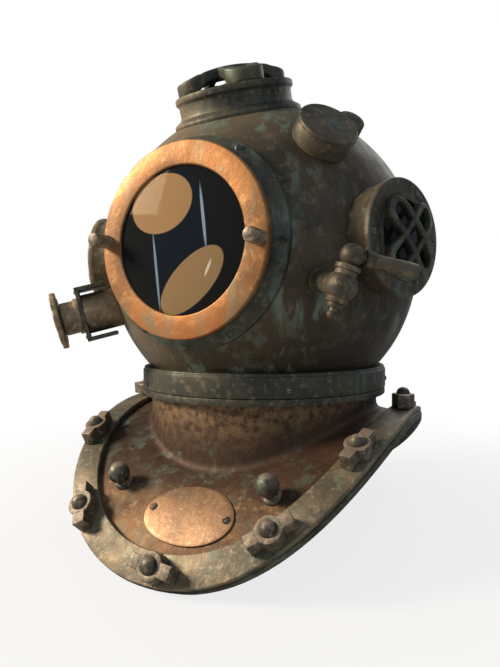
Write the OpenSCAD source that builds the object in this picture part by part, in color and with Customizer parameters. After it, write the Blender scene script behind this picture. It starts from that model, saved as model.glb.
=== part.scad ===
// Standard deep-sea diving helmet: a spun copper bonnet with three lights on a
// saddle-shaped breastplate, joined at the neck by an interrupted thread.
// Millimetres. +Z is up, -Y is the wearer's front, and the origin is the centre
// of the neck opening, in the plane where the two neck rings meet.

/* [Bonnet] */
// Outside radius of the spun copper bonnet
bonnet_r = 160; // [154:1:166]
// Thickness of the copper sheet of bonnet and breastplate
copper_t = 2; // [1.5:0.1:2.5]

/* [Neck joint] */
// How far the neck ring's outside lies inside the bonnet's radius
neck_ring_in = 32; // [30:0.5:34]
// Height of the bonnet's neck ring
neck_ring_h = 22; // [20:0.5:24]
// Thickness of the brass ring round the neck opening
neck_wall = 9; // [7:0.5:10]
// Height of the breastplate ring's flange, below the joint
lower_flange_h = 6; // [5:0.5:8]
// Length of the wall of the neck opening below the flange
lower_hub_h = 14; // [10:0.5:16]
// Height of the spigot that stands up inside the bonnet's ring
spigot_h = 15.5; // [14:0.5:16]
// Number of lugs of the interrupted thread on each ring
lug_count = 4; // [4:1:6]
// Height of a lug
lug_h = 5; // [4:0.5:5.5]
// How far a lug stands out of its ring
lug_reach = 3.6; // [3:0.1:3.8]
// Number of round-headed screws in the bonnet's ring
ring_screw_count = 5; // [4:1:8]

/* [Breastplate] */
// Height of the copper at the top of the shoulders
saddle_z = -22.5; // [-26:0.5:-21]
// Radius to which the breastplate's rim is bent
bend_r = 236; // [230:1:250]
// Distance from the copper neck to the line of studs at the shoulders
shoulder_w = 27.5; // [26:0.5:31]
// Half length of the line of studs, measured along the bend
rim_half_l = 224; // [216:1:230]
// How square the rim's outline is (2 is an ellipse)
rim_square = 2.2; // [2.1:0.05:2.5]
// Width of a braile
braile_w = 24; // [23:0.5:28]
// Thickness of a braile
braile_t = 5.5; // [4.5:0.5:7]
// Thickness of the brass rim plate under the copper
rim_plate_t = 6; // [5:0.5:8]
// How far the rim plate stands out past the brailes
rim_plate_edge = 1; // [0.5:0.5:2]
// Depth to which the rim's foot is ground flat at front and back
foot_cut = 3; // [2:0.5:4]

/* [Studs and nuts] */
// Radius of a breastplate stud
stud_r = 6.4; // [5.5:0.1:6.8]
// Radius of a wing nut's boss
nut_r = 10.6; // [9.5:0.1:11.5]
// Height of a wing nut
nut_h = 13; // [11:0.5:15]
// Length of a wing nut from tip to tip
nut_span = 38; // [34:0.5:40]
// Thickness of a wing
wing_t = 10.5; // [8:0.5:11.5]

/* [Breastplate fittings] */
// Length of the oval plate
plate_l = 90; // [70:1:92]
// Part of the skirt's length that the oval plate covers, in percent
plate_cover = 67; // [50:0.5:70]
// Direction of the oval plate's middle from the front, in degrees
plate_az = 5; // [0:0.5:6]
// Thickness of the oval plate
plate_t = 1.6; // [1.2:0.1:2.4]
// Radius of a weight stud's ball
weight_ball_r = 9.3; // [8:0.1:10]
// Height of a weight stud's ball above the copper
weight_ball_h = 13.5; // [12.5:0.5:16]
// Direction of the left weight stud from the front, in degrees
weight_left_az = 32; // [30:0.5:36]
// Direction of the right weight stud from the front, in degrees
weight_right_az = 27; // [26:0.5:34]

/* [Front window] */
// Height of the front window above the bonnet's centre
front_lift = 4; // [0:0.5:8]
// How far the faceplate's front lies inside the bonnet's radius
front_inset = 4; // [2:0.5:6]
// Outside radius of the faceplate's ring
front_ring_r = 81; // [79:0.5:83]
// Thickness of the faceplate's ring
front_ring_t = 6; // [5:0.5:8]
// Width of the faceplate's ring round the clear glass
front_land = 20; // [19:0.5:23]
// How far the faceplate's thread lies inside the ring's outside
front_thread_in = 10; // [9:0.5:11]
// Length of the faceplate's thread
front_thread_l = 11; // [10:0.5:12]
// How far the front window frame stands out round the faceplate
front_frame_w = 9.5; // [8:0.5:11]
// Thickness of the faceplate's lip in front of the glass
front_lip = 2; // [1.5:0.5:4]
// Thickness of the glass of the lights
glass_t = 8; // [6:0.5:8]
// Length of a faceplate handle
handle_l = 19.5; // [16:0.5:24]
// Radius of a faceplate handle
handle_r = 5.9; // [5:0.1:6.2]

/* [Side windows] */
// Direction of the side windows from the front, in degrees
side_az = 67.5; // [66:0.5:70]
// Height of the side windows above the bonnet's centre
side_lift = 5.5; // [3:0.5:8]
// How far the side window's face stands out past the bonnet's radius
side_stand = 16.5; // [14:0.5:19]
// Outside radius of the side window flange
side_flange_r = 48.7; // [47:0.1:50]
// How far the side window's flange overhangs its drum
side_lip = 2.2; // [2:0.1:4]
// Width of the side window's metal round the clear glass
side_land = 17.7; // [16:0.1:20]
// How far a side window guard lies inside the flange
side_guard_in = 11.7; // [10:0.1:13]
// Height of a side window guard
side_guard_h = 11; // [9:0.5:13]

/* [Top window] */
// Elevation of the top window's axis, in degrees
top_el = 69; // [67:0.5:72]
// How far the top window's face stands out past the bonnet's radius
top_stand = 14.5; // [12:0.5:17]
// Radius of the top window's lip
top_lip_r = 57.5; // [56:0.5:59]
// How far the top window's foot spreads past its lip
top_foot_w = 5; // [3:0.5:7]
// Width of the top window's metal round the clear glass
top_land = 15.5; // [14:0.5:18]
// How far the top window guard lies inside the lip
top_guard_in = 3.5; // [2.5:0.5:5]
// Height of the top window guard
top_guard_h = 19; // [16:0.5:21]

/* [Telephone] */
// Direction of the telephone housing from the front, in degrees
phone_az = 48; // [47:0.5:49]
// Elevation of the telephone housing, in degrees
phone_el = 34; // [33.5:0.5:35]
// Radius of the telephone housing
phone_r = 25.5; // [24:0.5:26]
// How far the telephone cap's face stands out past the bonnet's radius
phone_stand = 16.5; // [15:0.5:18]

/* [Spit cock] */
// Direction of the spit cock from the front, in degrees
cock_az = 42.5; // [41.5:0.5:43.5]
// Elevation of the spit cock, in degrees
cock_el = -11; // [-12:0.5:-10]
// How far the middle of the cock's ball stands out past the bonnet's radius
cock_stand = 40; // [38:0.5:42]
// Radius of the cock's ball
cock_ball_r = 11.6; // [11:0.1:12]
// Lean of the cock's plug, in degrees
cock_lean = 16.5; // [14:0.5:20]
// Length of the cock's lever
lever_l = 54; // [50:1:60]

/* [Exhaust valve] */
// Angle from the side window to the exhaust valve's foot, on the usual bonnet
exhaust_beside = 21.5; // [21:0.5:23]
// Angle of the exhaust valve's foot below the level, on the usual bonnet
exhaust_below = 16.5; // [16:0.5:17]
// Direction in which the exhaust valve points, in degrees from the front
exhaust_point_az = -46; // [-48:0.5:-44]
// How far the exhaust valve points below the horizontal, in degrees
exhaust_drop = 14.5; // [13:0.5:16]
// Radius of the exhaust valve's body
exhaust_r = 19.4; // [19:0.1:20]
// Height of the exhaust valve's body
exhaust_h = 31.5; // [30:0.5:33]
// Radius of the exhaust hand wheel
wheel_r = 27.6; // [26:0.1:29]

/* [Rear fittings] */
// Direction of the air inlet and telephone elbows from the front, in degrees
elbow_az = 158; // [156:0.5:161]
// Outside radius of an elbow's tube
elbow_r = 13; // [12.5:0.5:14]
// Bend radius of an elbow
elbow_bend = 24; // [22:0.5:28]
// Radius of the air inlet's hose thread
inlet_r = 14.5; // [14:0.1:15.5]
// Length of the hose threads
inlet_l = 18; // [16:0.5:20]
// Direction of the neck latch from the front, in degrees
latch_az = 144; // [140:1:148]

/* [Fits] */
// Gap at soldered or screwed seats that do not move
seat_gap = 0.1; // [0.05:0.01:0.15]
// Gap between pieces that move past each other
run_gap = 0.3; // [0.25:0.05:0.5]
// Gap under the brailes, where the suit's collar was clamped
braile_seat = 0.5; // [0.4:0.1:2]

/* [Hidden] */
fine = 96;
mid = 48;
nudge = 1;

// Colours of the metals, the leather and the glass
copper_brown = [0.42, 0.27, 0.17];
copper_rust = [0.62, 0.38, 0.22];
brass_green = [0.25, 0.28, 0.24];
brass_tan = [0.60, 0.50, 0.36];
brass_orange = [0.80, 0.50, 0.28];
bronze_brown = [0.45, 0.33, 0.22];
glass_dark = [0.10, 0.11, 0.12, 0.7];
leather_dark = [0.20, 0.14, 0.10];

// Neck joint
neck_ring_r = bonnet_r - neck_ring_in;
neck_bore_r = neck_ring_r - 10 - neck_wall;
neck_r = neck_ring_r - 9;
spigot_r = neck_ring_r - 10;
lug_top = spigot_h;
lug_turn = 360 / lug_count;
lug_arc = lug_turn / 2 - 3;
ring_bore_r = spigot_r + lug_reach + run_gap;
lower_ring_r = neck_ring_r - 0.5;
hub_r = neck_r - copper_t - seat_gap;
gasket_in_r = ring_bore_r;
gasket_out_r = neck_ring_r - 1.5;
gasket_t = 2;
ring_shoulder_z = spigot_h + 1;
shell_foot_z = ring_shoulder_z + 2.5;
shell_foot_r = neck_ring_r - 8.15;
bonnet_z = neck_ring_h + sqrt(pow(bonnet_r, 2) - pow(shell_foot_r, 2));
bonnet_in_r = bonnet_r - copper_t;
light_depth = 14;

// Screws
screw_r = 3.2;
screw_sink = 3;

rim_half_w = neck_r + shoulder_w;

// Sheet of the breastplate. A place on it is x, and s along the bend; up is
// the height above the copper.
function bend_deg(s) = s / bend_r * 180 / PI;
function sheet(x, s, up) = [x, (bend_r + up) * sin(bend_deg(s)),
    saddle_z - bend_r + (bend_r + up) * cos(bend_deg(s))];
function unit(v) = v / norm(v);

// The rim's outline: b is the direction on the sheet, 0 at the front and 90 at
// the wearer's left, and off is the distance outside the line of studs.
function rim_rho(b) = pow(pow(abs(sin(b)) / rim_half_w, rim_square)
    + pow(abs(cos(b)) / rim_half_l, rim_square), -1 / rim_square);
function rim_base(b) = rim_rho(b) * [sin(b), -cos(b)];
function signed_pow(v, e) = sign(v) * pow(abs(v), e);
function rim_out(b) = unit([signed_pow(sin(b) / rim_half_w, rim_square - 1) / rim_half_w,
    -signed_pow(cos(b) / rim_half_l, rim_square - 1) / rim_half_l]);
function rim_pt(b, off, up) = let (p = rim_base(b) + off * rim_out(b)) sheet(p[0], p[1], up);

// Stud places, as directions on the sheet. Every third one stands where two
// brailes butt.
stud_b = [2, 26, 52, 93, 130, 156, 180, 204, 230, 276, 311, 337];
nut_turn = [-8, -5, 0, 12, 5, -20, 10, 0, -8, 75, -9, -18];

// Rows of points joined into a solid; a closed run has no ends
module band(rows, closed_run) {
    n = len(rows);
    m = len(rows[0]);
    last = closed_run ? n - 1 : n - 2;
    sides = [for (i = [0:last]) for (j = [0:m - 1])
        let (a = i * m + j, b = i * m + (j + 1) % m,
            c = ((i + 1) % n) * m + (j + 1) % m, d = ((i + 1) % n) * m + j)
        each [[a, b, c], [a, c, d]]];
    first_cap = [for (j = [1:m - 2]) [0, j + 1, j]];
    last_cap = [for (j = [1:m - 2]) [(n - 1) * m, (n - 1) * m + j, (n - 1) * m + j + 1]];
    polyhedron([for (r = rows) each r],
        closed_run ? sides : concat(sides, first_cap, last_cap), convexity = 6);
}

// Places children with +Z along the sheet's outward normal at the stud in direction b
module on_rim(b, turn) {
    p = rim_base(b);
    o = rim_out(b);
    translate([p[0], 0, saddle_z - bend_r]) rotate([-bend_deg(p[1]), 0, 0])
        translate([0, 0, bend_r]) rotate([0, 0, atan2(o[0], -o[1]) + turn]) children();
}

// Places children with +Z outward from the bonnet's centre and +Y upward
module on_bonnet(az, el, lift = 0) {
    translate([0, 0, bonnet_z + lift]) rotate([0, 0, az]) rotate([90 - el, 0, 0]) children();
}

module tube(r_out, r_in, z0, z1) {
    translate([0, 0, z0]) difference() {
        cylinder(r = r_out, h = z1 - z0, $fn = fine);
        translate([0, 0, -nudge]) cylinder(r = r_in, h = z1 - z0 + 2 * nudge, $fn = fine);
    }
}

module disc(r, z0, z1) {
    translate([0, 0, z0]) cylinder(r = r, h = z1 - z0, $fn = fine);
}

// Round screw head with a slot and a short shank
module dome_screw(r) {
    difference() {
        union() {
            intersection() {
                translate([0, 0, -r * 0.45]) sphere(r = r * 1.1, $fn = mid);
                cylinder(r = r, h = r, $fn = mid);
            }
            translate([0, 0, -screw_sink]) cylinder(r = r * 0.55, h = screw_sink + 0.5, $fn = mid);
        }
        translate([-r * 1.5, -r * 0.12, r * 0.4]) cube([r * 3, r * 0.24, r]);
    }
}

module screw_hole(r) {
    translate([0, 0, -screw_sink - seat_gap])
        cylinder(r = r * 0.55 + seat_gap, h = screw_sink + seat_gap + nudge, $fn = mid);
}

// Breastplate

// Skirt between the neck and the rim, in direction az: the fillet at the neck
// runs to the skirt's top, and the skirt runs on to the inner edge of the brailes.
fillet_r = 6;
neck_foot_drop = 8;
neck_foot_rise = 3;
function sheet_z(y) = saddle_z - bend_r + sqrt(pow(bend_r, 2) - pow(y, 2));
neck_foot_front = sheet_z(neck_r + fillet_r) - neck_foot_drop;
neck_foot_side = saddle_z + neck_foot_rise;
fillet_steps = 5;
skirt_steps = 8;
stations = 96;
front_ratio = (bend_r * sin(bend_deg(rim_half_l))) / rim_half_l;
function rim_dir(az) = atan2(sin(az) * front_ratio, cos(az));
function skirt_top_z(az) = neck_foot_side + (neck_foot_front - neck_foot_side) * pow(cos(az), 2);
skirt_slope_front = 0.32;
skirt_slope_side = 0.12;
function skirt_slope(az) = skirt_slope_side
    + (skirt_slope_front - skirt_slope_side) * pow(cos(az), 2);
function polar(r, az, z) = [r * sin(az), -r * cos(az), z];
function skirt_top(az) = polar(neck_r + fillet_r, az, skirt_top_z(az));
function skirt_end(az) = rim_pt(rim_dir(az), -braile_w / 2, 0);
function skirt_pt(az, f) = let (
    a = skirt_top(az), d = skirt_end(az), reach = norm(d - a),
    t0 = unit([sin(az), -cos(az), -skirt_slope(az)]) * reach,
    t1 = (rim_pt(rim_dir(az), -braile_w / 2 + 1, 0) - d) * reach)
    a * (2 * pow(f, 3) - 3 * f * f + 1) + t0 * (pow(f, 3) - 2 * f * f + f)
    + d * (3 * f * f - 2 * pow(f, 3)) + t1 * (pow(f, 3) - f * f);
function skirt_normal(az, f) = unit(cross(skirt_pt(az + 1, f) - skirt_pt(az - 1, f),
    skirt_pt(az, min(f + 0.02, 1)) - skirt_pt(az, f - 0.02)) * -1);
function skirt_off(az, f, up) = skirt_pt(az, f) + up * skirt_normal(az, f);
function fillet_pt(az, f) = let (
    z = skirt_top_z(az), c = z + skirt_slope(az) * fillet_r)
    polar(neck_r + fillet_r * f * f, az,
        (c + fillet_r * 1.1) * pow(1 - f, 2) + 2 * c * f * (1 - f) + z * f * f);
function fillet_off(az, f, up) = let (
    p = fillet_pt(az, f), t = fillet_pt(az, f + 0.01) - fillet_pt(az, f - 0.01),
    n = unit(cross([cos(az), sin(az), 0], t) * -1))
    p + up * n;
neck_top_z = -lower_flange_h - seat_gap;
flange_in = -braile_w / 2;
flange_edge = -stud_r - 0.6;

module breastplate_shell() {
    rows = [for (i = [0:stations - 1]) let (az = i * 360 / stations, b = rim_dir(az)) concat(
        [polar(neck_r, az, neck_top_z)],
        [for (k = [0:fillet_steps - 1]) fillet_pt(az, k / fillet_steps)],
        [for (k = [0:skirt_steps]) skirt_pt(az, k / skirt_steps)],
        [rim_pt(b, flange_edge, 0), rim_pt(b, flange_edge, -copper_t)],
        [for (k = [skirt_steps:-1:1]) k == skirt_steps ? rim_pt(b, flange_in, -copper_t)
            : skirt_off(az, k / skirt_steps, -copper_t)],
        [for (k = [fillet_steps:-1:1]) fillet_off(az, k / fillet_steps, -copper_t)],
        [polar(neck_r - copper_t, az, skirt_top_z(az) + fillet_r * 1.4)],
        [polar(neck_r - copper_t, az, neck_top_z)])];
    color(copper_rust) band(rows, true);
}

module lugs(r_in, r_out, z0) {
    far = 2 * r_out;
    half = lug_arc / 2;
    for (i = [0:lug_count - 1]) rotate([0, 0, i * lug_turn]) intersection() {
        tube(r_out, r_in, z0, z0 + lug_h);
        translate([0, 0, z0 - nudge]) linear_extrude(height = lug_h + 2 * nudge)
            polygon([[0, 0], [far * cos(half), -far * sin(half)], [far * cos(half), far * sin(half)]]);
    }
}

module breastplate_neck_ring() {
    groove_out = gasket_out_r + seat_gap;
    groove_in = gasket_in_r - seat_gap;
    groove_z = -gasket_t - seat_gap;
    foot_z = -lower_flange_h - lower_hub_h;
    color(brass_green) {
        rotate_extrude($fn = fine) polygon([[neck_bore_r, foot_z], [hub_r, foot_z],
            [hub_r, -lower_flange_h], [lower_ring_r, -lower_flange_h], [lower_ring_r, 0],
            [groove_out, 0], [groove_out, groove_z], [groove_in, groove_z], [groove_in, 0],
            [spigot_r, 0], [spigot_r, spigot_h], [neck_bore_r, spigot_h]]);
        lugs(spigot_r - nudge, spigot_r + lug_reach, lug_top - lug_h);
    }
}

module neck_gasket() {
    color(leather_dark) tube(gasket_out_r, gasket_in_r, -gasket_t, 0);
}

// The brass rim: a flat strip bent to the saddle, rebated for the copper and
// ground flat at its feet.
rim_out_off = braile_w / 2 + rim_plate_edge;
rebate_off = flange_edge + seat_gap;
foot_z = rim_pt(0, rim_out_off, -rim_plate_t)[2] + foot_cut;

module stud_cut(r, b) {
    on_rim(b, 0) translate([0, 0, -rim_plate_t - nudge])
        cylinder(r = r, h = rim_plate_t + braile_t + 2 * nudge, $fn = mid);
}

module rim_plate() {
    rows = [for (i = [0:stations - 1]) let (b = i * 360 / stations)
        [rim_pt(b, flange_in, -copper_t - seat_gap), rim_pt(b, rebate_off, -copper_t - seat_gap),
        rim_pt(b, rebate_off, 0), rim_pt(b, rim_out_off, 0),
        rim_pt(b, rim_out_off, -rim_plate_t), rim_pt(b, flange_in, -rim_plate_t)]];
    span = 2 * (bend_r + rim_half_w);
    color(brass_green) difference() {
        band(rows, true);
        for (b = stud_b) stud_cut(stud_r + seat_gap, b);
        translate([-span / 2, -span / 2, foot_z - span]) cube(span);
    }
}

// A braile runs over three studs' spaces and butts on its neighbours under a nut
braile_gap = 0.15;
braile_chamfer = 1;
braile_steps = stations / 4;
braile_studs = 3;

module braile(k) {
    w = braile_w / 2;
    from_b = stud_b[k * braile_studs];
    to_b = k == 3 ? stud_b[0] + 360 : stud_b[(k + 1) * braile_studs];
    edge = braile_gap / rim_half_w * 180 / PI;
    rows = [for (i = [0:braile_steps])
        let (b = from_b + edge + (to_b - from_b - 2 * edge) * i / braile_steps)
        [rim_pt(b, -w, braile_seat), rim_pt(b, -w, braile_t - braile_chamfer),
        rim_pt(b, -w + braile_chamfer, braile_t), rim_pt(b, w - braile_chamfer, braile_t),
        rim_pt(b, w, braile_t - braile_chamfer), rim_pt(b, w, braile_seat)]];
    color(brass_tan) difference() {
        band(rows, false);
        for (i = [0:braile_studs])
            stud_cut(stud_r + run_gap, stud_b[(k * braile_studs + i) % len(stud_b)]);
    }
}

module braile_front_left() { braile(0); }
module braile_rear_left() { braile(1); }
module braile_rear_right() { braile(2); }
module braile_front_right() { braile(3); }

module rim_studs() {
    color(bronze_brown) for (b = stud_b) on_rim(b, 0) {
        translate([0, 0, -rim_plate_t + 1])
            cylinder(r = stud_r, h = rim_plate_t + braile_t + nut_h - 1, $fn = mid);
        translate([0, 0, braile_t + nut_h]) difference() {
            sphere(r = stud_r, $fn = mid);
            translate([-stud_r, -stud_r, -2 * stud_r]) cube(2 * stud_r);
        }
    }
}

module wing_nuts() {
    color(bronze_brown) for (i = [0:len(stud_b) - 1]) on_rim(stud_b[i], nut_turn[i])
        translate([0, 0, braile_t + seat_gap]) difference() {
            union() {
                cylinder(r = nut_r, h = nut_h - seat_gap, $fn = mid);
                translate([-nut_span / 2, -wing_t / 2, 0]) cube([nut_span, wing_t, nut_h - seat_gap]);
            }
            translate([0, 0, -nudge]) cylinder(r = stud_r + seat_gap, h = nut_h + 2, $fn = mid);
        }
}

// The oval plate is cut flat and bent to the skirt, so its ends hang lower. u runs
// across and v up the skirt, from the plate's middle.
plate_f = 0.57;
plate_hang = 135;
plate_tilt = 6;
plate_rings = 4;
plate_sides = 40;
plate_r = norm([skirt_pt(0, plate_f)[0], skirt_pt(0, plate_f)[1]]);
skirt_len = norm(skirt_end(0) - skirt_top(0));
plate_w = skirt_len * plate_cover / 100;
plate_screw_u = plate_l / 2 - 6.5;
plate_screw_r = 3.4;
function plate_deg(u) = plate_az + u / plate_r * 180 / PI;
function plate_share(u, v) = plate_f + (u * u / (2 * plate_hang) - v) / skirt_len;
function plate_pt(u, v, up) = skirt_off(plate_deg(u), plate_share(u, v), up);
function plate_ring(k, up) = [for (j = [0:plate_sides - 1]) let (a = -j * 360 / plate_sides)
    let (u = k * plate_l / 2 * cos(a), v = k * plate_w / 2 * sin(a))
    plate_pt(u * cos(plate_tilt) + v * sin(plate_tilt),
        v * cos(plate_tilt) - u * sin(plate_tilt), up)];

module oval_plate() {
    rows = concat([for (k = [1:plate_rings]) plate_ring(k / plate_rings, seat_gap + plate_t)],
        [for (k = [plate_rings:-1:1]) plate_ring(k / plate_rings, seat_gap)]);
    color(brass_orange) band(rows, false);
}

// Places children with +Z along the skirt's normal
module on_skirt(az, f, up) {
    n = skirt_normal(az, f);
    translate(skirt_off(az, f, up)) rotate([0, acos(n[2]), atan2(n[1], n[0])]) children();
}

module oval_plate_screws() {
    color(bronze_brown) for (side = [-1, 1]) let (u = side * plate_screw_u * cos(plate_tilt),
        v = -side * plate_screw_u * sin(plate_tilt))
        on_skirt(plate_deg(u), plate_share(u, v), plate_t + 2 * seat_gap)
            rotate([0, 0, 40 * side]) intersection() {
                translate([0, 0, -1]) sphere(r = plate_screw_r + 0.3, $fn = mid);
                cylinder(r = plate_screw_r, h = plate_screw_r, $fn = mid);
            }
}

weight_stud_f = 0.63;
weight_foot_r = 9.5;
weight_foot_h = 3;

module weight_stud(az) {
    color(brass_green) on_skirt(az, weight_stud_f, 2 * seat_gap) {
        cylinder(r = weight_foot_r, h = weight_foot_h, $fn = mid);
        cylinder(r = weight_ball_r * 0.55, h = weight_ball_h, $fn = mid);
        translate([0, 0, weight_ball_h]) sphere(r = weight_ball_r, $fn = mid);
    }
}

module weight_stud_left() { weight_stud(weight_left_az); }
module weight_stud_right() { weight_stud(-weight_right_az); }

// Bonnet

front_thread_r = front_ring_r - front_thread_in;
front_neck_r = front_thread_r + 5;
side_drum_r = side_flange_r - side_lip;
side_clear_r = side_flange_r - side_land;
side_neck_r = side_clear_r + 10;
top_clear_r = top_lip_r - top_land;
top_neck_r = top_clear_r + 8;
phone_hole_r = phone_r - 4;
cock_hole_r = 5;
exhaust_neck_r = exhaust_r - 2;
elbow_neck_r = elbow_r - 1;

module bonnet_shell() {
    color(copper_brown) difference() {
        union() {
            difference() {
                bonnet_ball(bonnet_r);
                translate([0, 0, neck_ring_h - 2 * bonnet_r]) cylinder(r = 2 * bonnet_r,
                    h = 2 * bonnet_r, $fn = fine);
            }
            disc(shell_foot_r - seat_gap, shell_foot_z, neck_ring_h + nudge);
        }
        bonnet_ball(bonnet_in_r);
        disc(shell_foot_r - copper_t, shell_foot_z - nudge, neck_ring_h + 2);
        on_bonnet(0, 0, front_lift) disc(front_neck_r + seat_gap, bonnet_r / 2, 2 * bonnet_r);
        for (side = [-1, 1]) on_bonnet(side * side_az, 0, side_lift)
            disc(side_neck_r + seat_gap, bonnet_r / 2, 2 * bonnet_r);
        on_bonnet(0, top_el) disc(top_neck_r + seat_gap, bonnet_r / 2, 2 * bonnet_r);
        on_bonnet(phone_az, phone_el) disc(phone_hole_r + seat_gap, bonnet_r / 2, 2 * bonnet_r);
        on_bonnet(cock_az, cock_el) disc(cock_hole_r + seat_gap, bonnet_r / 2, 2 * bonnet_r);
        at_exhaust() disc(exhaust_neck_r + seat_gap, -bonnet_r / 4, bonnet_r / 2);
        for (side = [-1, 1]) on_bonnet(side * elbow_az, 0)
            disc(elbow_neck_r + seat_gap, bonnet_r / 2, 2 * bonnet_r);
    }
}

ring_screw_z = 7;

module at_ring_screws() {
    for (i = [0:ring_screw_count - 1]) rotate([0, 0, (i + 0.5) * 360 / ring_screw_count])
        translate([0, -neck_ring_r, ring_screw_z]) rotate([90, 0, 0]) children();
}

module bonnet_neck_ring() {
    lip_r = spigot_r - 2;
    color(brass_green) {
        difference() {
            rotate_extrude($fn = fine) polygon([[ring_bore_r, run_gap], [neck_ring_r, run_gap],
                [neck_ring_r, neck_ring_h], [shell_foot_r, neck_ring_h],
                [shell_foot_r, shell_foot_z], [lip_r, shell_foot_z], [lip_r, ring_shoulder_z],
                [ring_bore_r, ring_shoulder_z]]);
            at_ring_screws() screw_hole(screw_r);
        }
        lugs(spigot_r + run_gap, ring_bore_r + nudge, lug_top - 2 * lug_h - run_gap);
    }
}

module neck_ring_screws() {
    color(bronze_brown) at_ring_screws() dome_screw(screw_r);
}

// Front window

frame_foot_t = 4.5;
front_face = bonnet_r - front_inset;
front_clear_r = front_ring_r - front_land;
front_frame_r = front_ring_r + front_frame_w;
front_frame_face = front_face - front_ring_t - run_gap;
front_frame_back = front_frame_face - front_thread_l - 4;
front_frame_screws_n = 6;
front_screw_r = 3.4;
front_screw_pcd_r = (front_frame_r + front_ring_r) / 2 + 0.3;
front_drum_r = front_ring_r - 0.5;

module bonnet_ball(r) {
    translate([0, 0, bonnet_z]) sphere(r = r, $fn = fine);
}

// Places children with +Z along the normal of a saddle flange, in a frame whose
// axis passes at height lift above the bonnet's centre
module on_saddle(x, y, lift, r) {
    z = sqrt(r * r - x * x - pow(y + lift, 2));
    translate([x, y, z]) rotate([0, acos(z / r), atan2(y + lift, x)]) children();
}

module at_front_screws() {
    for (i = [0:front_frame_screws_n - 1]) let (t = i * 360 / front_frame_screws_n - 3)
        on_saddle(front_screw_pcd_r * cos(t), front_screw_pcd_r * sin(t), front_lift,
            bonnet_r + frame_foot_t) children();
}

module front_window_frame() {
    color(brass_green) difference() {
        union() {
            on_bonnet(0, 0, front_lift) disc(front_neck_r, front_frame_back, front_frame_face);
            difference() {
                union() {
                    on_bonnet(0, 0, front_lift) disc(front_drum_r, bonnet_r / 2, front_frame_face);
                    intersection() {
                        bonnet_ball(bonnet_r + frame_foot_t);
                        on_bonnet(0, 0, front_lift)
                            disc(front_frame_r, bonnet_r / 2, front_frame_face);
                    }
                }
                bonnet_ball(bonnet_r + seat_gap);
            }
        }
        on_bonnet(0, 0, front_lift) {
            disc(front_thread_r + run_gap, bonnet_r / 2, bonnet_r);
            at_front_screws() screw_hole(front_screw_r);
        }
    }
}

module front_frame_screws() {
    color(brass_green) on_bonnet(0, 0, front_lift) at_front_screws() rotate([0, 0, 50])
        dome_screw(front_screw_r);
}

front_glass_r = front_clear_r + 4.5;
front_glass_back = front_face - front_lip - glass_t;

module faceplate_ring() {
    color(brass_orange) on_bonnet(0, 0, front_lift) difference() {
        union() {
            disc(front_ring_r, front_face - front_ring_t, front_face);
            disc(front_thread_r, front_frame_face - front_thread_l, front_face - nudge);
        }
        disc(front_clear_r, bonnet_r / 2, bonnet_r);
        disc(front_glass_r + run_gap, bonnet_r / 2, front_face - front_lip);
        at_handles() translate([0, 0, -4])
            cylinder(r = handle_r * 0.6 + seat_gap, h = 5, $fn = mid);
    }
}

handle_in_r = front_ring_r - 6.2;
handle_turn = -3.5;

module at_handles() {
    for (side = [0, 180]) rotate([0, 0, side + handle_turn])
        translate([handle_in_r, 0, front_face]) children();
}

module faceplate_handles() {
    color(bronze_brown) on_bonnet(0, 0, front_lift) at_handles() {
        translate([0, 0, -3.8]) cylinder(r = handle_r * 0.6, h = 5, $fn = mid);
        translate([0, 0, seat_gap]) cylinder(r = handle_r, h = handle_l - 2, $fn = mid);
        translate([0, 0, handle_l - 2 + seat_gap])
            cylinder(r1 = handle_r, r2 = handle_r - 1.8, h = 2 - seat_gap, $fn = mid);
    }
}

module front_glass() {
    color(glass_dark) on_bonnet(0, 0, front_lift)
        disc(front_glass_r, front_glass_back, front_face - front_lip);
}

module front_glass_gasket() {
    color(leather_dark) on_bonnet(0, 0, front_lift)
        tube(front_glass_r, front_clear_r, front_glass_back - 1.2, front_glass_back);
}

module front_glass_retainer() {
    color(brass_green) on_bonnet(0, 0, front_lift)
        tube(front_glass_r, front_clear_r - 0.5, front_glass_back - 4.2, front_glass_back - 1.2);
}

// Side windows

side_flange_t = 6;
side_face = bonnet_r + side_stand;
side_guard_r = side_flange_r - side_guard_in;
side_glass_r = side_clear_r + 5;
side_glass_top = side_face - 2.5;
side_gasket_t = 1.5;

module at_side(side) {
    on_bonnet(side * side_az, 0, side_lift) children();
}

module at_side_screws() {
    for (turn = [0, 180]) rotate([0, 0, turn]) translate([(side_flange_r + side_guard_r) / 2, 0,
        side_face]) children();
}

module side_window_frame(side) {
    difference() {
        union() {
            difference() {
                at_side(side) {
                    disc(side_drum_r, bonnet_r / 2, side_face - side_flange_t + nudge);
                    disc(side_flange_r, side_face - side_flange_t, side_face);
                }
                bonnet_ball(bonnet_r + seat_gap);
            }
            at_side(side) disc(side_neck_r, bonnet_r - light_depth, side_face - side_flange_t);
        }
        at_side(side) {
            disc(side_clear_r, bonnet_r / 2, 2 * bonnet_r);
            disc(side_glass_r + seat_gap, side_glass_top - glass_t - side_gasket_t,
                side_face + nudge);
            at_side_screws() screw_hole(screw_r);
        }
    }
}

module side_glass(side) {
    color(glass_dark) at_side(side) disc(side_glass_r, side_glass_top - glass_t, side_glass_top);
}

module side_gasket(side) {
    color(leather_dark) at_side(side) tube(side_glass_r, side_clear_r,
        side_glass_top - glass_t - side_gasket_t, side_glass_top - glass_t);
}

module long_hole(l, w) {
    square([l - w, w], center = true);
    for (end = [-1, 1]) translate([end * (l - w) / 2, 0]) circle(d = w, $fn = mid);
}

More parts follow.
